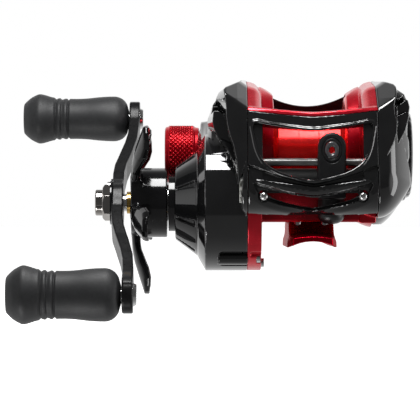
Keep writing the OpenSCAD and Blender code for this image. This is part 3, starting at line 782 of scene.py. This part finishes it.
def cover_solid(x, y, z):
    """Outside of the handle-side cover, without cone."""
    rc, rd = crown_radius(x), drum_radius(x)
    drum = disc(y, z, DRIVE, 0.0) - rd
    pocket = box(x, y, z, (-27.4, -40, -7.2), (-15, -8, -3.1), 1.2)
    drum = drum + 1.6 * step(pocket + 0.1, 0.5)
    bridge = capsule(y, z, (SPOOL[0], SPOOL[1], rc), (DRIVE[0], DRIVE[1], rd - 0.4))
    bridge = np.maximum(bridge, 27.9 - z)
    solid = smax(smin(drum, bridge, 0.3), slab(x, -33.7, -HALF + 0.08), 0.35)
    rear = wrap(y, z, (CROWN, NOSE_TOP, REAR_LOW, REAR_TOP))
    rear = rear + profile(x, [(-22.4, 1.7), (-21.3, 1.1), (-19.3, 0)])
    back = smax(rear, slab(x, -22.4, -HALF + 0.08), 0.3)
    back = np.maximum(back, -(y - 4))
    # The blades: the front plane runs up to a ridge that climbs outwards
    away = np.clip(-HALF - x, 0, 12)
    body = wrap(y, climb(z, away), BODY)
    lean = profile(x, [(-30, 2.6), (-27, 1.6), (-25.4, 0.7), (-22, 0.2), (-19, 0)])
    # Their outer edges turn outwards as they go back
    inner = np.clip(away / 6, 0, 1)
    back_a = np.clip(y + 28, 0, 12) * inner * profile(z, TURN_A)
    back_b = np.clip(y + 22, 0, 12) * inner * profile(z, TURN_B)
    a = smax(body + lean, polygon(x + back_a, z, BLADE_A) * 0.95, 0.3)
    a = smax(a, y - 14, 0.6)
    b = smax(body + profile(z, [(18, 3.5), (24, 6.5)]), polygon(x + back_b, z, BLADE_B) * 0.95, 0.3)
    b = smax(b, y - 10, 0.6)
    low = smax(wrap(y, z, BODY), polygon(x, z, LOW_NOSE), 0.5)
    low = smax(low, y - 14, 0.6)
    nose = np.minimum(np.minimum(a, b), low)
    nose = smax(nose, x + HALF - 0.08, 0.3)
    return np.minimum(smin(solid, back, 0.5), nose)


def cover_shape(x, y, z):
    solid = cover_solid(x, y, z)
    inside = solid + 1.5
    inside = np.maximum(inside, -(x + 30.1))
    shell = np.maximum(solid, -inside)
    # Nose cone with flutes
    yy, zz = y - DRIVE[0], z - DRIVE[1]
    r = np.hypot(yy, zz)
    turn = (np.arctan2(zz, -yy) + math.radians(24)) / (2 * math.pi) * 8 + 0.5
    wedge = np.abs((turn % 1) - 0.5) * 2
    along = np.clip((-x - 33.7) / 6.7, 0, 1)
    groove = step(wedge - profile(along, [(0, 0.16), (1, 0.06)]), 0.1)
    edge = profile(x, [(-40.4, 11.0), (-34.2, 15.6), (-33.6, 16.0)])
    flute = 0.75 * groove * np.clip((-x - 34.3) / 0.6, 0, 1) * np.clip((x + 40.2) / 0.6, 0, 1)
    cone = smax((r - edge + flute) * 0.8, slab(x, -40.4, -31), 0.3)
    shell = smin(shell, np.maximum(cone, 6.05 - r), 0.25)
    # Room for the tension cap, with its boss
    relief = np.maximum(disc(y, z, SPOOL, 9.35), x + 33.0)
    shell = cut(shell, relief, 0.4)
    boss = smax(disc(y, z, SPOOL, 7.15), slab(x, -41.5, -31), 0.3)
    shell = np.minimum(shell, boss)
    # The boss round the low screw, seen in the pocket
    shell = np.minimum(shell, np.maximum(disc(y, z, LOW_SCREW, 2.0), slab(x, -27.6, -HALF + 0.08)))
    shell = cut(shell, np.maximum(disc(y, z, SPOOL, 4.55), -(x + 36.6)), 0.1)
    shell = cut(shell, disc(y, z, SPOOL, 3.0), 0.1)
    shell = cut(shell, np.maximum(disc(y, z, DRIVE, 18.2), -(x + 30.1)), 0.1)
    shell = cut(shell, disc(y, z, DRIVE, 6.05), 0.2)
    shell = cut(shell, np.maximum(disc(y, z, DRIVE, 7.05), -(x + 37.7)), 0.1)
    return shell


cover = sculpt("handle_cover_shell", cover_shape, (-41.6, -35.8, -9.3), (-18.7, 32.5, 49), 0.36)
dress(cover, "root", "gloss", "gloss_black", "handle_side_cover")


# ---- palm-side cover ----

PALM_A = [
    (18.9, 49), (19.3, 48.4), (21.4, 47.3), (23.6, 46.4), (24.3, 45.6), (24.3, 43.5), (23.8, 40),
    (24.0, 37), (24.6, 34.4), (24.4, 31.5), (23.4, 28.6), (22.0, 25.8), (20.8, 24.2), (18.9, 22.4),
]
PALM_B = [
    (18.9, 46), (25.0, 45.2), (27.0, 43.4), (28.2, 41.2), (28.6, 39.4),
    (28.2, 36), (27.0, 32), (25.0, 28.4), (22.6, 25.4), (18.9, 21),
]
PALM_TURN_A = [(31, 0), (34.4, 0.16), (38, 0.28), (42, 0.24), (45.6, 0.06)]
PALM_TURN_B = [(30, 0), (34, 0.06), (40, 0.1), (42, 0)]


def palm_solid(x, y, z):
    body = wrap(y, z, BODY)
    drop = 9.6 * np.clip((x - HALF) / 9.9, 0, 1.1) ** 2.0
    core = smax(body + drop, slab(x, HALF - 0.08, 28.9), 0.6)
    lower = capsule(y, z, (6, 26.2, 13.9), (-10, 21.5, 9.5))
    core = smin(core, smax(lower, slab(x, 20, 28.3), 0.7), 1.2)
    away = np.clip(x - HALF, 0, 9)
    raised = wrap(y, climb(z, away), BODY) + 0.1 * away
    inner = np.clip(away / 5, 0, 1)
    back_a = np.clip(y + 28, 0, 12) * inner * profile(z, PALM_TURN_A)
    back_b = np.clip(y + 24, 0, 12) * inner * profile(z, PALM_TURN_B)
    a = smax(raised + 0.25, polygon(x - back_a, z, PALM_A) * 0.95, 0.35)
    a = smax(smax(a, y - 14, 0.6), -(x - HALF + 0.08), 0.3)
    behind = profile(z, [(20, 2.0), (28, 3.4)])
    b = smax(raised + behind, polygon(x - back_b, z, PALM_B) * 0.95, 0.35)
    b = smax(smax(b, y - 10, 0.6), -(x - HALF + 0.08), 0.3)
    return np.minimum(np.minimum(core, a), b)


def palm_shape(x, y, z):
    solid = palm_solid(x, y, z)
    shell = np.maximum(solid, -np.maximum(solid + 1.5, x - 27.4))
    plate = np.maximum(wrap(y, z, BODY, 1.0), slab(x, HALF + 0.05, 20.5))
    plate = np.maximum(plate, solid)
    shell = np.minimum(shell, plate)
    shell = np.minimum(shell, np.maximum(disc(y, z, SPOOL, 5.8), slab(x, HALF + 0.05, 27)))
    shell = cut(shell, np.maximum(disc(y, z, SPOOL, 4.55), x - 24.6), 0.1)
    shell = cut(shell, np.maximum(disc(y, z, SPOOL, 4.05), 25.6 - x), 0.1)
    shell = cut(shell, np.maximum(disc(y, z, SPOOL, 13.45), 27.75 - x), 0.1)
    for a in (30, 150, 270):
        at = (6 + 10 * math.cos(math.radians(a)), 26.2 + 10 * math.sin(math.radians(a)))
        shell = cut(shell, np.maximum(disc(y, z, at, 1.0), x - 24), 0.1)
    return shell


palm = sculpt("palm_cover_shell", palm_shape, (18.7, -35.8, 5.3), (29.4, 32.5, 49), 0.34)
dress(palm, "root", "gloss", "gloss_black", "palm_side_cover")


# ---- spool and thumb bar ----

flange = [
    (-12.5, 2.6), (-12.5, 8), (-11.7, 15.8), (-12.45, 16.9), (-12.4, 17.45), (-12.1, 17.6),
    (-11.3, 17.6), (-11.05, 17.4), (-10.8, 16.8), (-10.4, 12.8), (-9.9, 11.9), (-9.3, 11.5),
]
spool_line = flange + [(-3.2, 11.5), (-3.0, 11.38), (-2.8, 11.5), (2.8, 11.5), (3.0, 11.38), (3.2, 11.5)]
spool_line += [(-a, r) for a, r in reversed(flange[4:])]
spool_line += [(12.4, 17.2), (11.5, 16), (10.9, 9.8), (-9.5, 9.8), (-9.5, 2.6), (-12.5, 2.6)]
spool = turned("spool_turned", SPOOL, spool_line, 128)
dress(spool, "spool_body", "spool_red", "red_anodised", "spool")


# The thumb bar from the side, as (y, z)
THUMB_SIDE = [
    (10, 20), (14.5, 42.5), (17.5, 45.2), (20.4, 45.2), (24.6, 42.0),
    (28.6, 36.6), (31.4, 30.5), (31.7, 27), (27, 25),
]


def thumb_shape(x, y, z):
    r = disc(y, z, SPOOL, 0.0)
    sag = 1 - np.minimum(np.abs(x) / 13.0, 1.0) ** 2
    top = polygon(y - 2.4 * sag, z + 3.6 * sag, THUMB_SIDE)
    bar = smax(top, 22.1 - r, 0.4)
    bar = smax(bar, slab(x, -14.4, 14.4), 0.5)
    bar = smax(smax(bar, 26.9 - z, 0.4), y - 31.7, 0.4)
    return np.minimum(bar, box(x, y, z, (-19.4, 23.6, 30.6), (-14.2, 25.8, 33.6), 0.2))


thumb = sculpt("thumb_shell", thumb_shape, (-19.4, 12, 26), (14.5, 32, 45.6), 0.32)
dress(thumb, "thumb", "satin", "satin_black", "thumb_bar")


# ---- tension cap ----


def knurl(s, a):
    """Two crossing helical grooves cut to points, with plain bands at both ends."""
    flat = np.clip((s + 42.3) / 0.2, 0, 1) * np.clip((-35.2 - s) / 0.2, 0, 1)
    turn = a * 40 / (2 * math.pi)
    lead = s / 1.37
    one = np.abs(((turn + lead) % 1) - 0.5) * 2
    two = np.abs(((turn - lead) % 1) - 0.5) * 2
    return 1 - 0.05 * flat * (1 - np.clip(np.minimum(one, two) * 1.6, 0, 1))


cap_line = [(-33.4, 7.32), (-33.4, 7.9), (-33.55, 8.1), (-34.5, 8.25), (-34.9, 8.6)]
cap_line += [(s, 8.75) for s in np.linspace(-35.1, -42.4, 96)]
cap_line += [(-42.6, 8.5), (-43.3, 8.3), (-43.6, 8.0), (-43.7, 7.6), (-43.7, 0.05)]
cap_line += [(-42.0, 0.05), (-42.0, 7.32), (-33.4, 7.32)]
cap = turned("tension_cap_turned", SPOOL, cap_line, 720, bulge=knurl)
dress(cap, "tension", "knurl_red", "red_anodised", "tension_cap")


# ---- crank: arm, nut, star and knobs ----

SPAN = 45.0


def crank_place(q):
    """From the arm's own frame (x, along, across) to the row frame."""
    c, s = math.cos(LEAN), math.sin(LEAN)
    return np.stack([q[:, 0], DRIVE[0] - q[:, 1] * s + q[:, 2] * c, DRIVE[1] - q[:, 1] * c - q[:, 2] * s], 1)


ARM_TOP = [(0, -55.9), (11, -55.9), (16, -55.3), (23, -53.7), (30, -52.4), (37, -52), (51, -52)]
ARM_BOTTOM = [
    (0, -59.3), (10, -59.3), (15, -58.9), (21, -57.6), (27, -56.2), (32, -55.4), (37, -55.2), (51, -55.2),
]
ARM_WIDTH = [(0, 4.2), (12, 4.0), (20, 3.6), (34, 3.9), (46, 4.4)]


def arm_shape(x, u, v):
    au = np.abs(u)
    side = np.maximum(x - profile(au, ARM_TOP), profile(au, ARM_BOTTOM) - x) * 0.96
    plan = np.maximum(np.abs(v) - profile(au, ARM_WIDTH), au - SPAN)
    plan = smin(plan, np.hypot(u, v) - 6.0, 2.0)
    plan = smin(plan, np.hypot(au - SPAN, v) - 5.4, 2.0)
    arm = smax(side, plan, 0.45)
    arm = cut(arm, np.hypot(u, v) - 2.65, 0.1)
    return cut(arm, np.hypot(au - SPAN, v) - 2.03, 0.1)


p, faces, normals = nets(arm_shape, (-59.4, -50.6, -6.2), (-51.8, 50.6, 6.2), 0.32)
arm_turn = crank_place(normals) - np.array([0, DRIVE[0], DRIVE[1]])
arm = make_piece("handle_arm_shell", crank_place(p), faces, arm_turn)
dress(arm, "crank", "arm", "black_metal", "handle_arm")


def nut_shape(x, y, z):
    yy, zz = y - DRIVE[0], z - DRIVE[1]
    r = np.hypot(yy, zz)
    flats = None
    for k in range(6):
        a = math.radians(60 * k + 8)
        d = yy * math.cos(a) + zz * math.sin(a) - 4.75
        flats = d if flats is None else np.maximum(flats, d)
    hexagon = smax(flats, slab(x, -62.2, -59.32), 0.12)
    chamfer = (r - 5.4 + (np.abs(x + 60.7) - 0.9) * 1.2) * 0.64
    hexagon = smax(hexagon, chamfer, 0.1)
    end = smax(r - 3.9, slab(x, -64.4, -62), 0.45)
    nut = smin(hexagon, end, 0.15)
    return cut(nut, np.maximum(r - 2.63, -(x + 63.8)), 0.05)


nut = sculpt("handle_nut_shell", nut_shape, (-64.5, -12.8, 5.6), (-59.2, -1.2, 17.2), 0.17)
dress(nut, "crank", "dark_chrome", "chrome", "handle_nut")

STAR_OUT = [(0, -53.6), (10, -53.6), (14, -53.3), (17.9, -52.6), (22.4, -51.2), (27.4, -49.6)]
STAR_IN = [(0, -51.2), (10, -51.2), (14, -51.1), (17.9, -50.2), (22.4, -49.1), (27.4, -48.0)]


LEAF_WIDTH = [
    (4, 3.6), (9, 2.9), (12, 2.9), (15.5, 3.9), (19.5, 4.85),
    (22.5, 4.75), (25, 3.7), (26.6, 2.2), (27.3, 0.6), (27.6, -1.5),
]


def star_shape(x, y, z):
    yy, zz = y - DRIVE[0], z - DRIVE[1]
    r = np.hypot(yy, zz)
    hub = r - profile(x, [(-53.6, 9.4), (-50.3, 10.3), (-50, 10.4), (-43, 10.4)])
    star = smax(hub, slab(x, -53.55, -42.8), 0.35)
    hollow = np.maximum(r - 8.0, -(x + 44.8))
    star = cut(star, hollow, 0.2)
    for k in range(5):
        a = math.radians(-90 + 72 * k)
        along = yy * math.cos(a) + zz * math.sin(a)
        side = np.abs(-yy * math.sin(a) + zz * math.cos(a))
        leaf = np.maximum((side - profile(along, LEAF_WIDTH)) * 0.9, 4 - along)
        curl = x - 2.0 * np.minimum(side / 4.8, 1.1) ** 2
        bend = np.maximum(curl - profile(along, STAR_IN), profile(along, STAR_OUT) - curl) * 0.7
        star = smin(star, smax(leaf, bend, 0.95), 0.6)
    return cut(star, r - 3.4, 0.15)


star = sculpt("star_drag_shell", star_shape, (-53.7, -35.2, -16.6), (-42.7, 21.2, 36), 0.3)
dress(star, "star", "black_metal", "black_metal", "star_drag")

KNOB_AT = {
    "lower": (DRIVE[0] - SPAN * math.sin(LEAN), DRIVE[1] - SPAN * math.cos(LEAN)),
    "upper": (DRIVE[0] + SPAN * math.sin(LEAN), DRIVE[1] + SPAN * math.cos(LEAN)),
}
# Outside of a knob, as (distance from its outer end, radius)
KNOB_END = -88.4
KNOB_SHAPE = curve([
    (0.4, 4.3), (0.1, 4.9), (0.9, 5.9), (2.2, 7.1), (3.5, 7.9), (4.6, 8.4), (5.6, 8.4),
    (7.0, 8.0), (8.8, 7.4), (11, 7.05), (14, 6.85), (17, 6.8), (20, 6.95), (23.5, 7.35),
    (27, 7.62), (29.2, 7.55), (31, 6.7), (32.2, 5.2), (32.7, 3.6), (33.0, 2.5),
], 6, closed=False)
KNOB_GROOVES = (10.2, 12.1, 14.0)
KNOB_BORE = [
    (-55.9, 2.5), (-55.9, 3.5), (-59.4, 3.5), (-59.4, 2.5), (-80.4, 2.5), (-80.4, 3.55), (-84.4, 3.55),
]


def knob_outside():
    """The outside with its grooves, as (x, radius)."""
    line = []
    for s, r in KNOB_SHAPE:
        for groove in KNOB_GROOVES:
            r -= 0.5 * max(0.0, 1 - ((s - groove) / 0.5) ** 2)
        line.append((KNOB_END + s, r * (0.97 if s < 33 else 1)))
    return line


def finer(line, start, end):
    """The line with four more points in each step that begins between start and end."""
    out = []
    for (s0, r0), (s1, r1) in zip(line, line[1:]):
        out.append((s0, r0))
        if start < s0 < end:
            out += [(s0 + (s1 - s0) * t, r0 + (r1 - r0) * t) for t in (0.2, 0.4, 0.6, 0.8)]
    return out + [line[-1]]


def oval(sign):
    """Slightly flat on two sides, with soft facets at both ends."""

    def bulge(s, a):
        t = s - KNOB_END
        facet = 0.03 * np.exp(-(((t - 28.5) / 3.0) ** 2)) + 0.03 * np.exp(-(((t - 4.5) / 3.0) ** 2))
        return 1 - 0.045 * sign * np.cos(2 * a) + facet * (np.cos(4 * (a - 0.35)) - 1) * 0.5

    return bulge


knob_line = [(-84.4, 3.55), (-84.4, 4.12), (-88.0, 4.12)]
knob_line += finer(knob_outside(), KNOB_END + 9.0, KNOB_END + 15.2) + KNOB_BORE
for name, body, sign in (("lower", "knob_low", 1), ("upper", "knob_high", -1)):
    knob = turned(f"{name}_knob_turned", KNOB_AT[name], knob_line, 144, bulge=oval(sign))
    dress(knob, body, "rubber", "knob_rubber", f"{name}_knob")


# ---- line guide ----

# The guide's middle at rest, and its eye's height
GX = 5.5
EYE_Z = 26.6


def guide_shape(x, y, z):
    arch = np.where(z > 27.6, np.hypot(x - GX, z - 27.6) - 4.1, np.abs(x - GX) - 4.1)
    arch = np.maximum(arch, 15.0 - z)
    plate = smax(arch, slab(y, -31.2, -28.2), 0.7)
    carriage = box(x, y, z, (GX - 4.1, -29.4, 12.6), (GX + 4.1, -20.6, 25.2), 0.4)
    stem = smax(disc(x, y, (GX, -25), 3.9), slab(z, 9.2, 13.4), 0.2)
    guide = smin(smin(plate, carriage, 0.5), stem, 0.4)
    guide = cut(guide, disc(y, z, WORM, 3.95), 0.1)
    guide = cut(guide, disc(y, z, RAIL, 1.15), 0.1)
    guide = cut(guide, np.maximum(disc(x, y, (GX, -25), 1.7), z - 16), 0.1)
    eye = np.hypot((x - GX) / 0.8, z - EYE_Z) - 2.64
    guide = cut(guide, eye, 0.3)
    ring = np.abs(np.hypot(x - GX, (z - EYE_Z) * 0.8) - 2.9) - 0.18
    return cut(guide, np.maximum(ring, y + 30.9), 0.1)


guide = sculpt("line_guide_shell", guide_shape, (1.2, -31.4, 9), (9.8, -20.4, 31.9), 0.2)
dress(guide, "guide", "satin", "satin_black", "line_guide")

insert_line = [
    (-28.4, 1.3), (-28.9, 0.95), (-30.4, 0.95), (-31.0, 1.1), (-31.35, 1.5), (-31.4, 1.9),
    (-31.3, 2.35), (-31.1, 2.55), (-30.6, 2.58), (-28.4, 2.58), (-28.4, 1.3),
]


def tall_oval(s, a):
    return 1 / np.hypot(np.cos(a) / 0.8, np.sin(a))


eye = turned("guide_insert_turned", (GX, EYE_Z), insert_line, 72, "y", tall_oval)
eye.data.flip_normals()
dress(eye, "guide", "ceramic", "ceramic", "guide_insert")

holder_line = [
    (9.15, 0.05), (9.15, 3.7), (9.0, 3.9), (7.7, 3.9), (7.0, 3.75),
    (6.3, 3.4), (5.7, 2.8), (5.3, 2.0), (5.1, 1.0), (5.05, 0.05),
]
holder = turned("pawl_cap_turned", (GX, WORM[0]), holder_line, 64, axis="z")
dress(holder, "guide", "satin", "satin_black", "pawl_cap")


# ---- brake dial ----


def dial_grip(s, a):
    notch = np.abs(((a * 24 / (2 * math.pi)) % 1) - 0.5) * 2
    return 1 - 0.012 * step(notch - 0.35, 0.5) * np.clip((s - 28.0) / 0.3, 0, 1)


dial_line = [
    (25.7, 0.05), (25.7, 4.0), (27.9, 4.0), (27.9, 12.6), (28.1, 13.0), (28.5, 13.2), (30.0, 13.2),
    (30.6, 12.9), (30.95, 12.3), (31.0, 11.4), (30.8, 10.8), (30.4, 10.4), (30.3, 9.6), (30.3, 1.2),
    (30.2, 0.05),
]
dial = turned("brake_dial_turned", SPOOL, dial_line, 192, bulge=dial_grip)
dial.data.flip_normals()
dress(dial, "dial", "gloss", "gloss_black", "brake_dial")


# ---- worm shaft with its crossing grooves ----


def worm_grooves(s, a):
    out = np.ones_like(s)
    reach = np.abs(s) < 13.6
    for hand in (-1, 1):
        d = np.abs(((s / 2.4 * 0.5 + hand * a / (2 * math.pi)) % 1) - 0.5) * 4.8
        out = np.minimum(out, 1 - 0.22 * step(d - 0.5, 0.3) * reach)
    return out


worm_line = [(-21.45, 0.05), (-21.45, 1.45), (-21.3, 1.6), (-14.6, 1.6), (-14.6, 2.85), (-14.45, 3.0)]
worm_line += [(s, 3.0) for s in np.linspace(-14.0, 14.0, 169)]
worm_line += [(14.45, 3.0), (14.6, 2.85), (14.6, 1.6), (18.75, 1.6), (18.9, 1.45), (18.9, 0.05)]
worm = turned("worm_shaft_turned", WORM, worm_line, 72, bulge=worm_grooves)
worm.data.flip_normals()
dress(worm, "worm", "steel", "steel", "worm_shaft")


# ---- CAD pieces that show as they are ----

SHOWN_AS_CAD = {
    "steel": (
        "foot_screws", "cover_screws", "spool_bearings", "main_shaft_bearing", "one_way_bearing",
        "crank_bearing", "yoke_springs", "drive_shaft", "ratchet", "key_washer", "clutch_sleeve",
        "spring_washers", "knob_spindles", "spool_shaft", "shaft_pin", "clutch_yoke", "clutch_cam",
        "clutch_plate", "brake_magnets",
    ),
    "chrome": ("retainer_screw",),
    "grey_steel": ("guide_rail",),
    "satin": ("magnet_carrier",),
    "guard": ("worm_guard",),
    "black_metal": ("bearing_retainer", "nut_retainer", "lower_knob_cap", "upper_knob_cap"),
    "brass": (
        "worm_bushes", "levelwind_cog", "drive_gear", "star_nut", "lower_knob_bushes",
        "upper_knob_bushes", "pinion_gear", "levelwind_pawl", "tension_shims",
    ),
    "nylon": ("worm_cog",),
    "carbon": ("drag_washers",),
}


def show_as_cad(node, look):
    """Gives a CAD node its finish and soft edges, without changing its mesh."""
    mesh = node.data
    mesh.materials.clear()
    mesh.materials.append(LOOK[look].material)
    if mesh.has_custom_normals:
        mesh.attributes.remove(mesh.attributes["custom_normal"])
    mesh.polygons.foreach_set("use_smooth", np.ones(len(mesh.polygons), bool))
    weld = node.modifiers.new("weld", "WELD")
    weld.merge_threshold = 0.000005
    bevel = node.modifiers.new("edge", "BEVEL")
    bevel.width = 0.12 * MM
    bevel.segments = 2
    bevel.limit_method = "ANGLE"
    bevel.angle_limit = math.radians(35)
    bevel.harden_normals = True


for look, names in SHOWN_AS_CAD.items():
    for name in names:
        show_as_cad(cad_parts[name], look)


# ---- world, light and camera ----


# The studio's brightness by direction, in degrees over the top from the viewer's side
STUDIO = [
    (-180, 1.0), (-120, 0.75), (-90, 0.4), (-60, 0.24), (-23, 0.2), (-20, 0.09), (30, 0.08),
    (85, 0.09), (112, 0.14), (126, 0.3), (138, 0.9), (150, 1.0), (180, 1.0),
]
WALL_WHITE = 0.95


def make_world():
    """A studio round the object: white behind, dark towards the viewer, and white side walls."""
    world = bpy.data.worlds.new("studio")
    bpy.context.scene.world = world
    world.use_nodes = True
    tree = world.node_tree
    back = tree.nodes["Background"]
    place = tree.nodes.new("ShaderNodeTexCoord")
    split = tree.nodes.new("ShaderNodeSeparateXYZ")
    tree.links.new(place.outputs["Generated"], split.inputs[0])

    def maths(operation, *sources):
        node = tree.nodes.new("ShaderNodeMath")
        node.operation = operation
        for source, socket in zip(sources, node.inputs):
            tree.links.new(source, socket)
        return node

    minus = maths("MULTIPLY", split.outputs["Y"])
    minus.inputs[1].default_value = -1
    angle = maths("ARCTAN2", split.outputs["Z"], minus.outputs[0])
    scale = tree.nodes.new("ShaderNodeMapRange")
    scale.inputs["From Min"].default_value = -math.pi
    scale.inputs["From Max"].default_value = math.pi
    tree.links.new(angle.outputs[0], scale.inputs["Value"])
    ramp = tree.nodes.new("ShaderNodeValToRGB")
    while len(ramp.color_ramp.elements) < len(STUDIO):
        ramp.color_ramp.elements.new(0.5)
    for element, (degrees, level) in zip(ramp.color_ramp.elements, STUDIO):
        element.position = (degrees + 180) / 360
        element.color = (level, level, level, 1)
    tree.links.new(scale.outputs[0], ramp.inputs["Fac"])
    # The walls begin well out to the sides
    side = maths("ABSOLUTE", split.outputs["X"])
    wall = tree.nodes.new("ShaderNodeMapRange")
    wall.interpolation_type = "SMOOTHSTEP"
    wall.inputs["From Min"].default_value = 0.85
    wall.inputs["From Max"].default_value = 0.98
    tree.links.new(side.outputs[0], wall.inputs["Value"])
    mix = tree.nodes.new("ShaderNodeMix")
    mix.data_type = "RGBA"
    tree.links.new(wall.outputs[0], mix.inputs["Factor"])
    tree.links.new(ramp.outputs["Color"], mix.inputs["A"])
    mix.inputs["B"].default_value = (WALL_WHITE, WALL_WHITE, WALL_WHITE, 1)
    tree.links.new(mix.outputs["Result"], back.inputs["Color"])
    back.inputs["Strength"].default_value = 1.0


make_world()


def make_floor():
    """A plain pale floor under the knobs.

    Only the camera sees it, so the gloss keeps the studio's light.
    """
    low = start_bounds[0][2] - 1.5 * MM
    reach = 4.0
    mesh = bpy.data.meshes.new("floor")
    corners = [(-reach, -reach, low), (reach, -reach, low), (reach, reach, low), (-reach, reach, low)]
    mesh.from_pydata(corners, [], [(0, 1, 2, 3)])
    floor = bpy.data.objects.new("floor", mesh)
    bpy.context.scene.collection.objects.link(floor)
    white = Finish("pale_floor")
    white.set(Base_Color=(0.9, 0.9, 0.9), Roughness=0.9)
    white.set(Emission_Color=(1.0, 1.0, 1.0), Emission_Strength=0.9)
    mesh.materials.append(white.material)
    floor.visible_diffuse = False
    floor.visible_glossy = False
    floor.visible_transmission = False
    floor.visible_shadow = False


make_floor()


def panel(name, at, look_at, size, brightness):
    """A rectangular softbox; its power follows from its area and brightness."""
    light = bpy.data.lights.new(name, "AREA")
    light.shape = "RECTANGLE"
    light.size, light.size_y = size
    light.energy = math.pi * size[0] * size[1] * brightness
    lamp = bpy.data.objects.new(name, light)
    bpy.context.scene.collection.objects.link(lamp)
    lamp.location = at
    lamp.rotation_euler = (Vector(look_at) - Vector(at)).to_track_quat("-Z", "Y").to_euler()
    return lamp


panel("left_top_panel", (-0.058, -0.099, 0.261), (-0.058, -0.02, 0.02), (0.073, 0.14), 22)
panel("narrow_top_panel", (0.013, -0.10, 0.261), (0.013, -0.02, 0.02), (0.017, 0.14), 30)
panel("right_panel", (0.3, -0.03, 0.02), (0.02, -0.02, 0.02), (0.08, 0.3), 3)
panel("low_left_panel", (-0.15, -0.15, -0.25), (-0.02, -0.03, 0.01), (0.12, 0.12), 8)

camera_data = bpy.data.cameras.new("camera")
camera = bpy.data.objects.new("camera", camera_data)
bpy.context.scene.collection.objects.link(camera)
camera_data.sensor_width = 36
camera_data.lens = 217
camera.location = (-0.030, -0.767, 0.0092)
camera.rotation_euler = (math.radians(90), 0, 0)
camera_data.clip_start, camera_data.clip_end = 0.05, 10
bpy.context.scene.camera = camera
bpy.context.scene.view_settings.view_transform = "Standard"
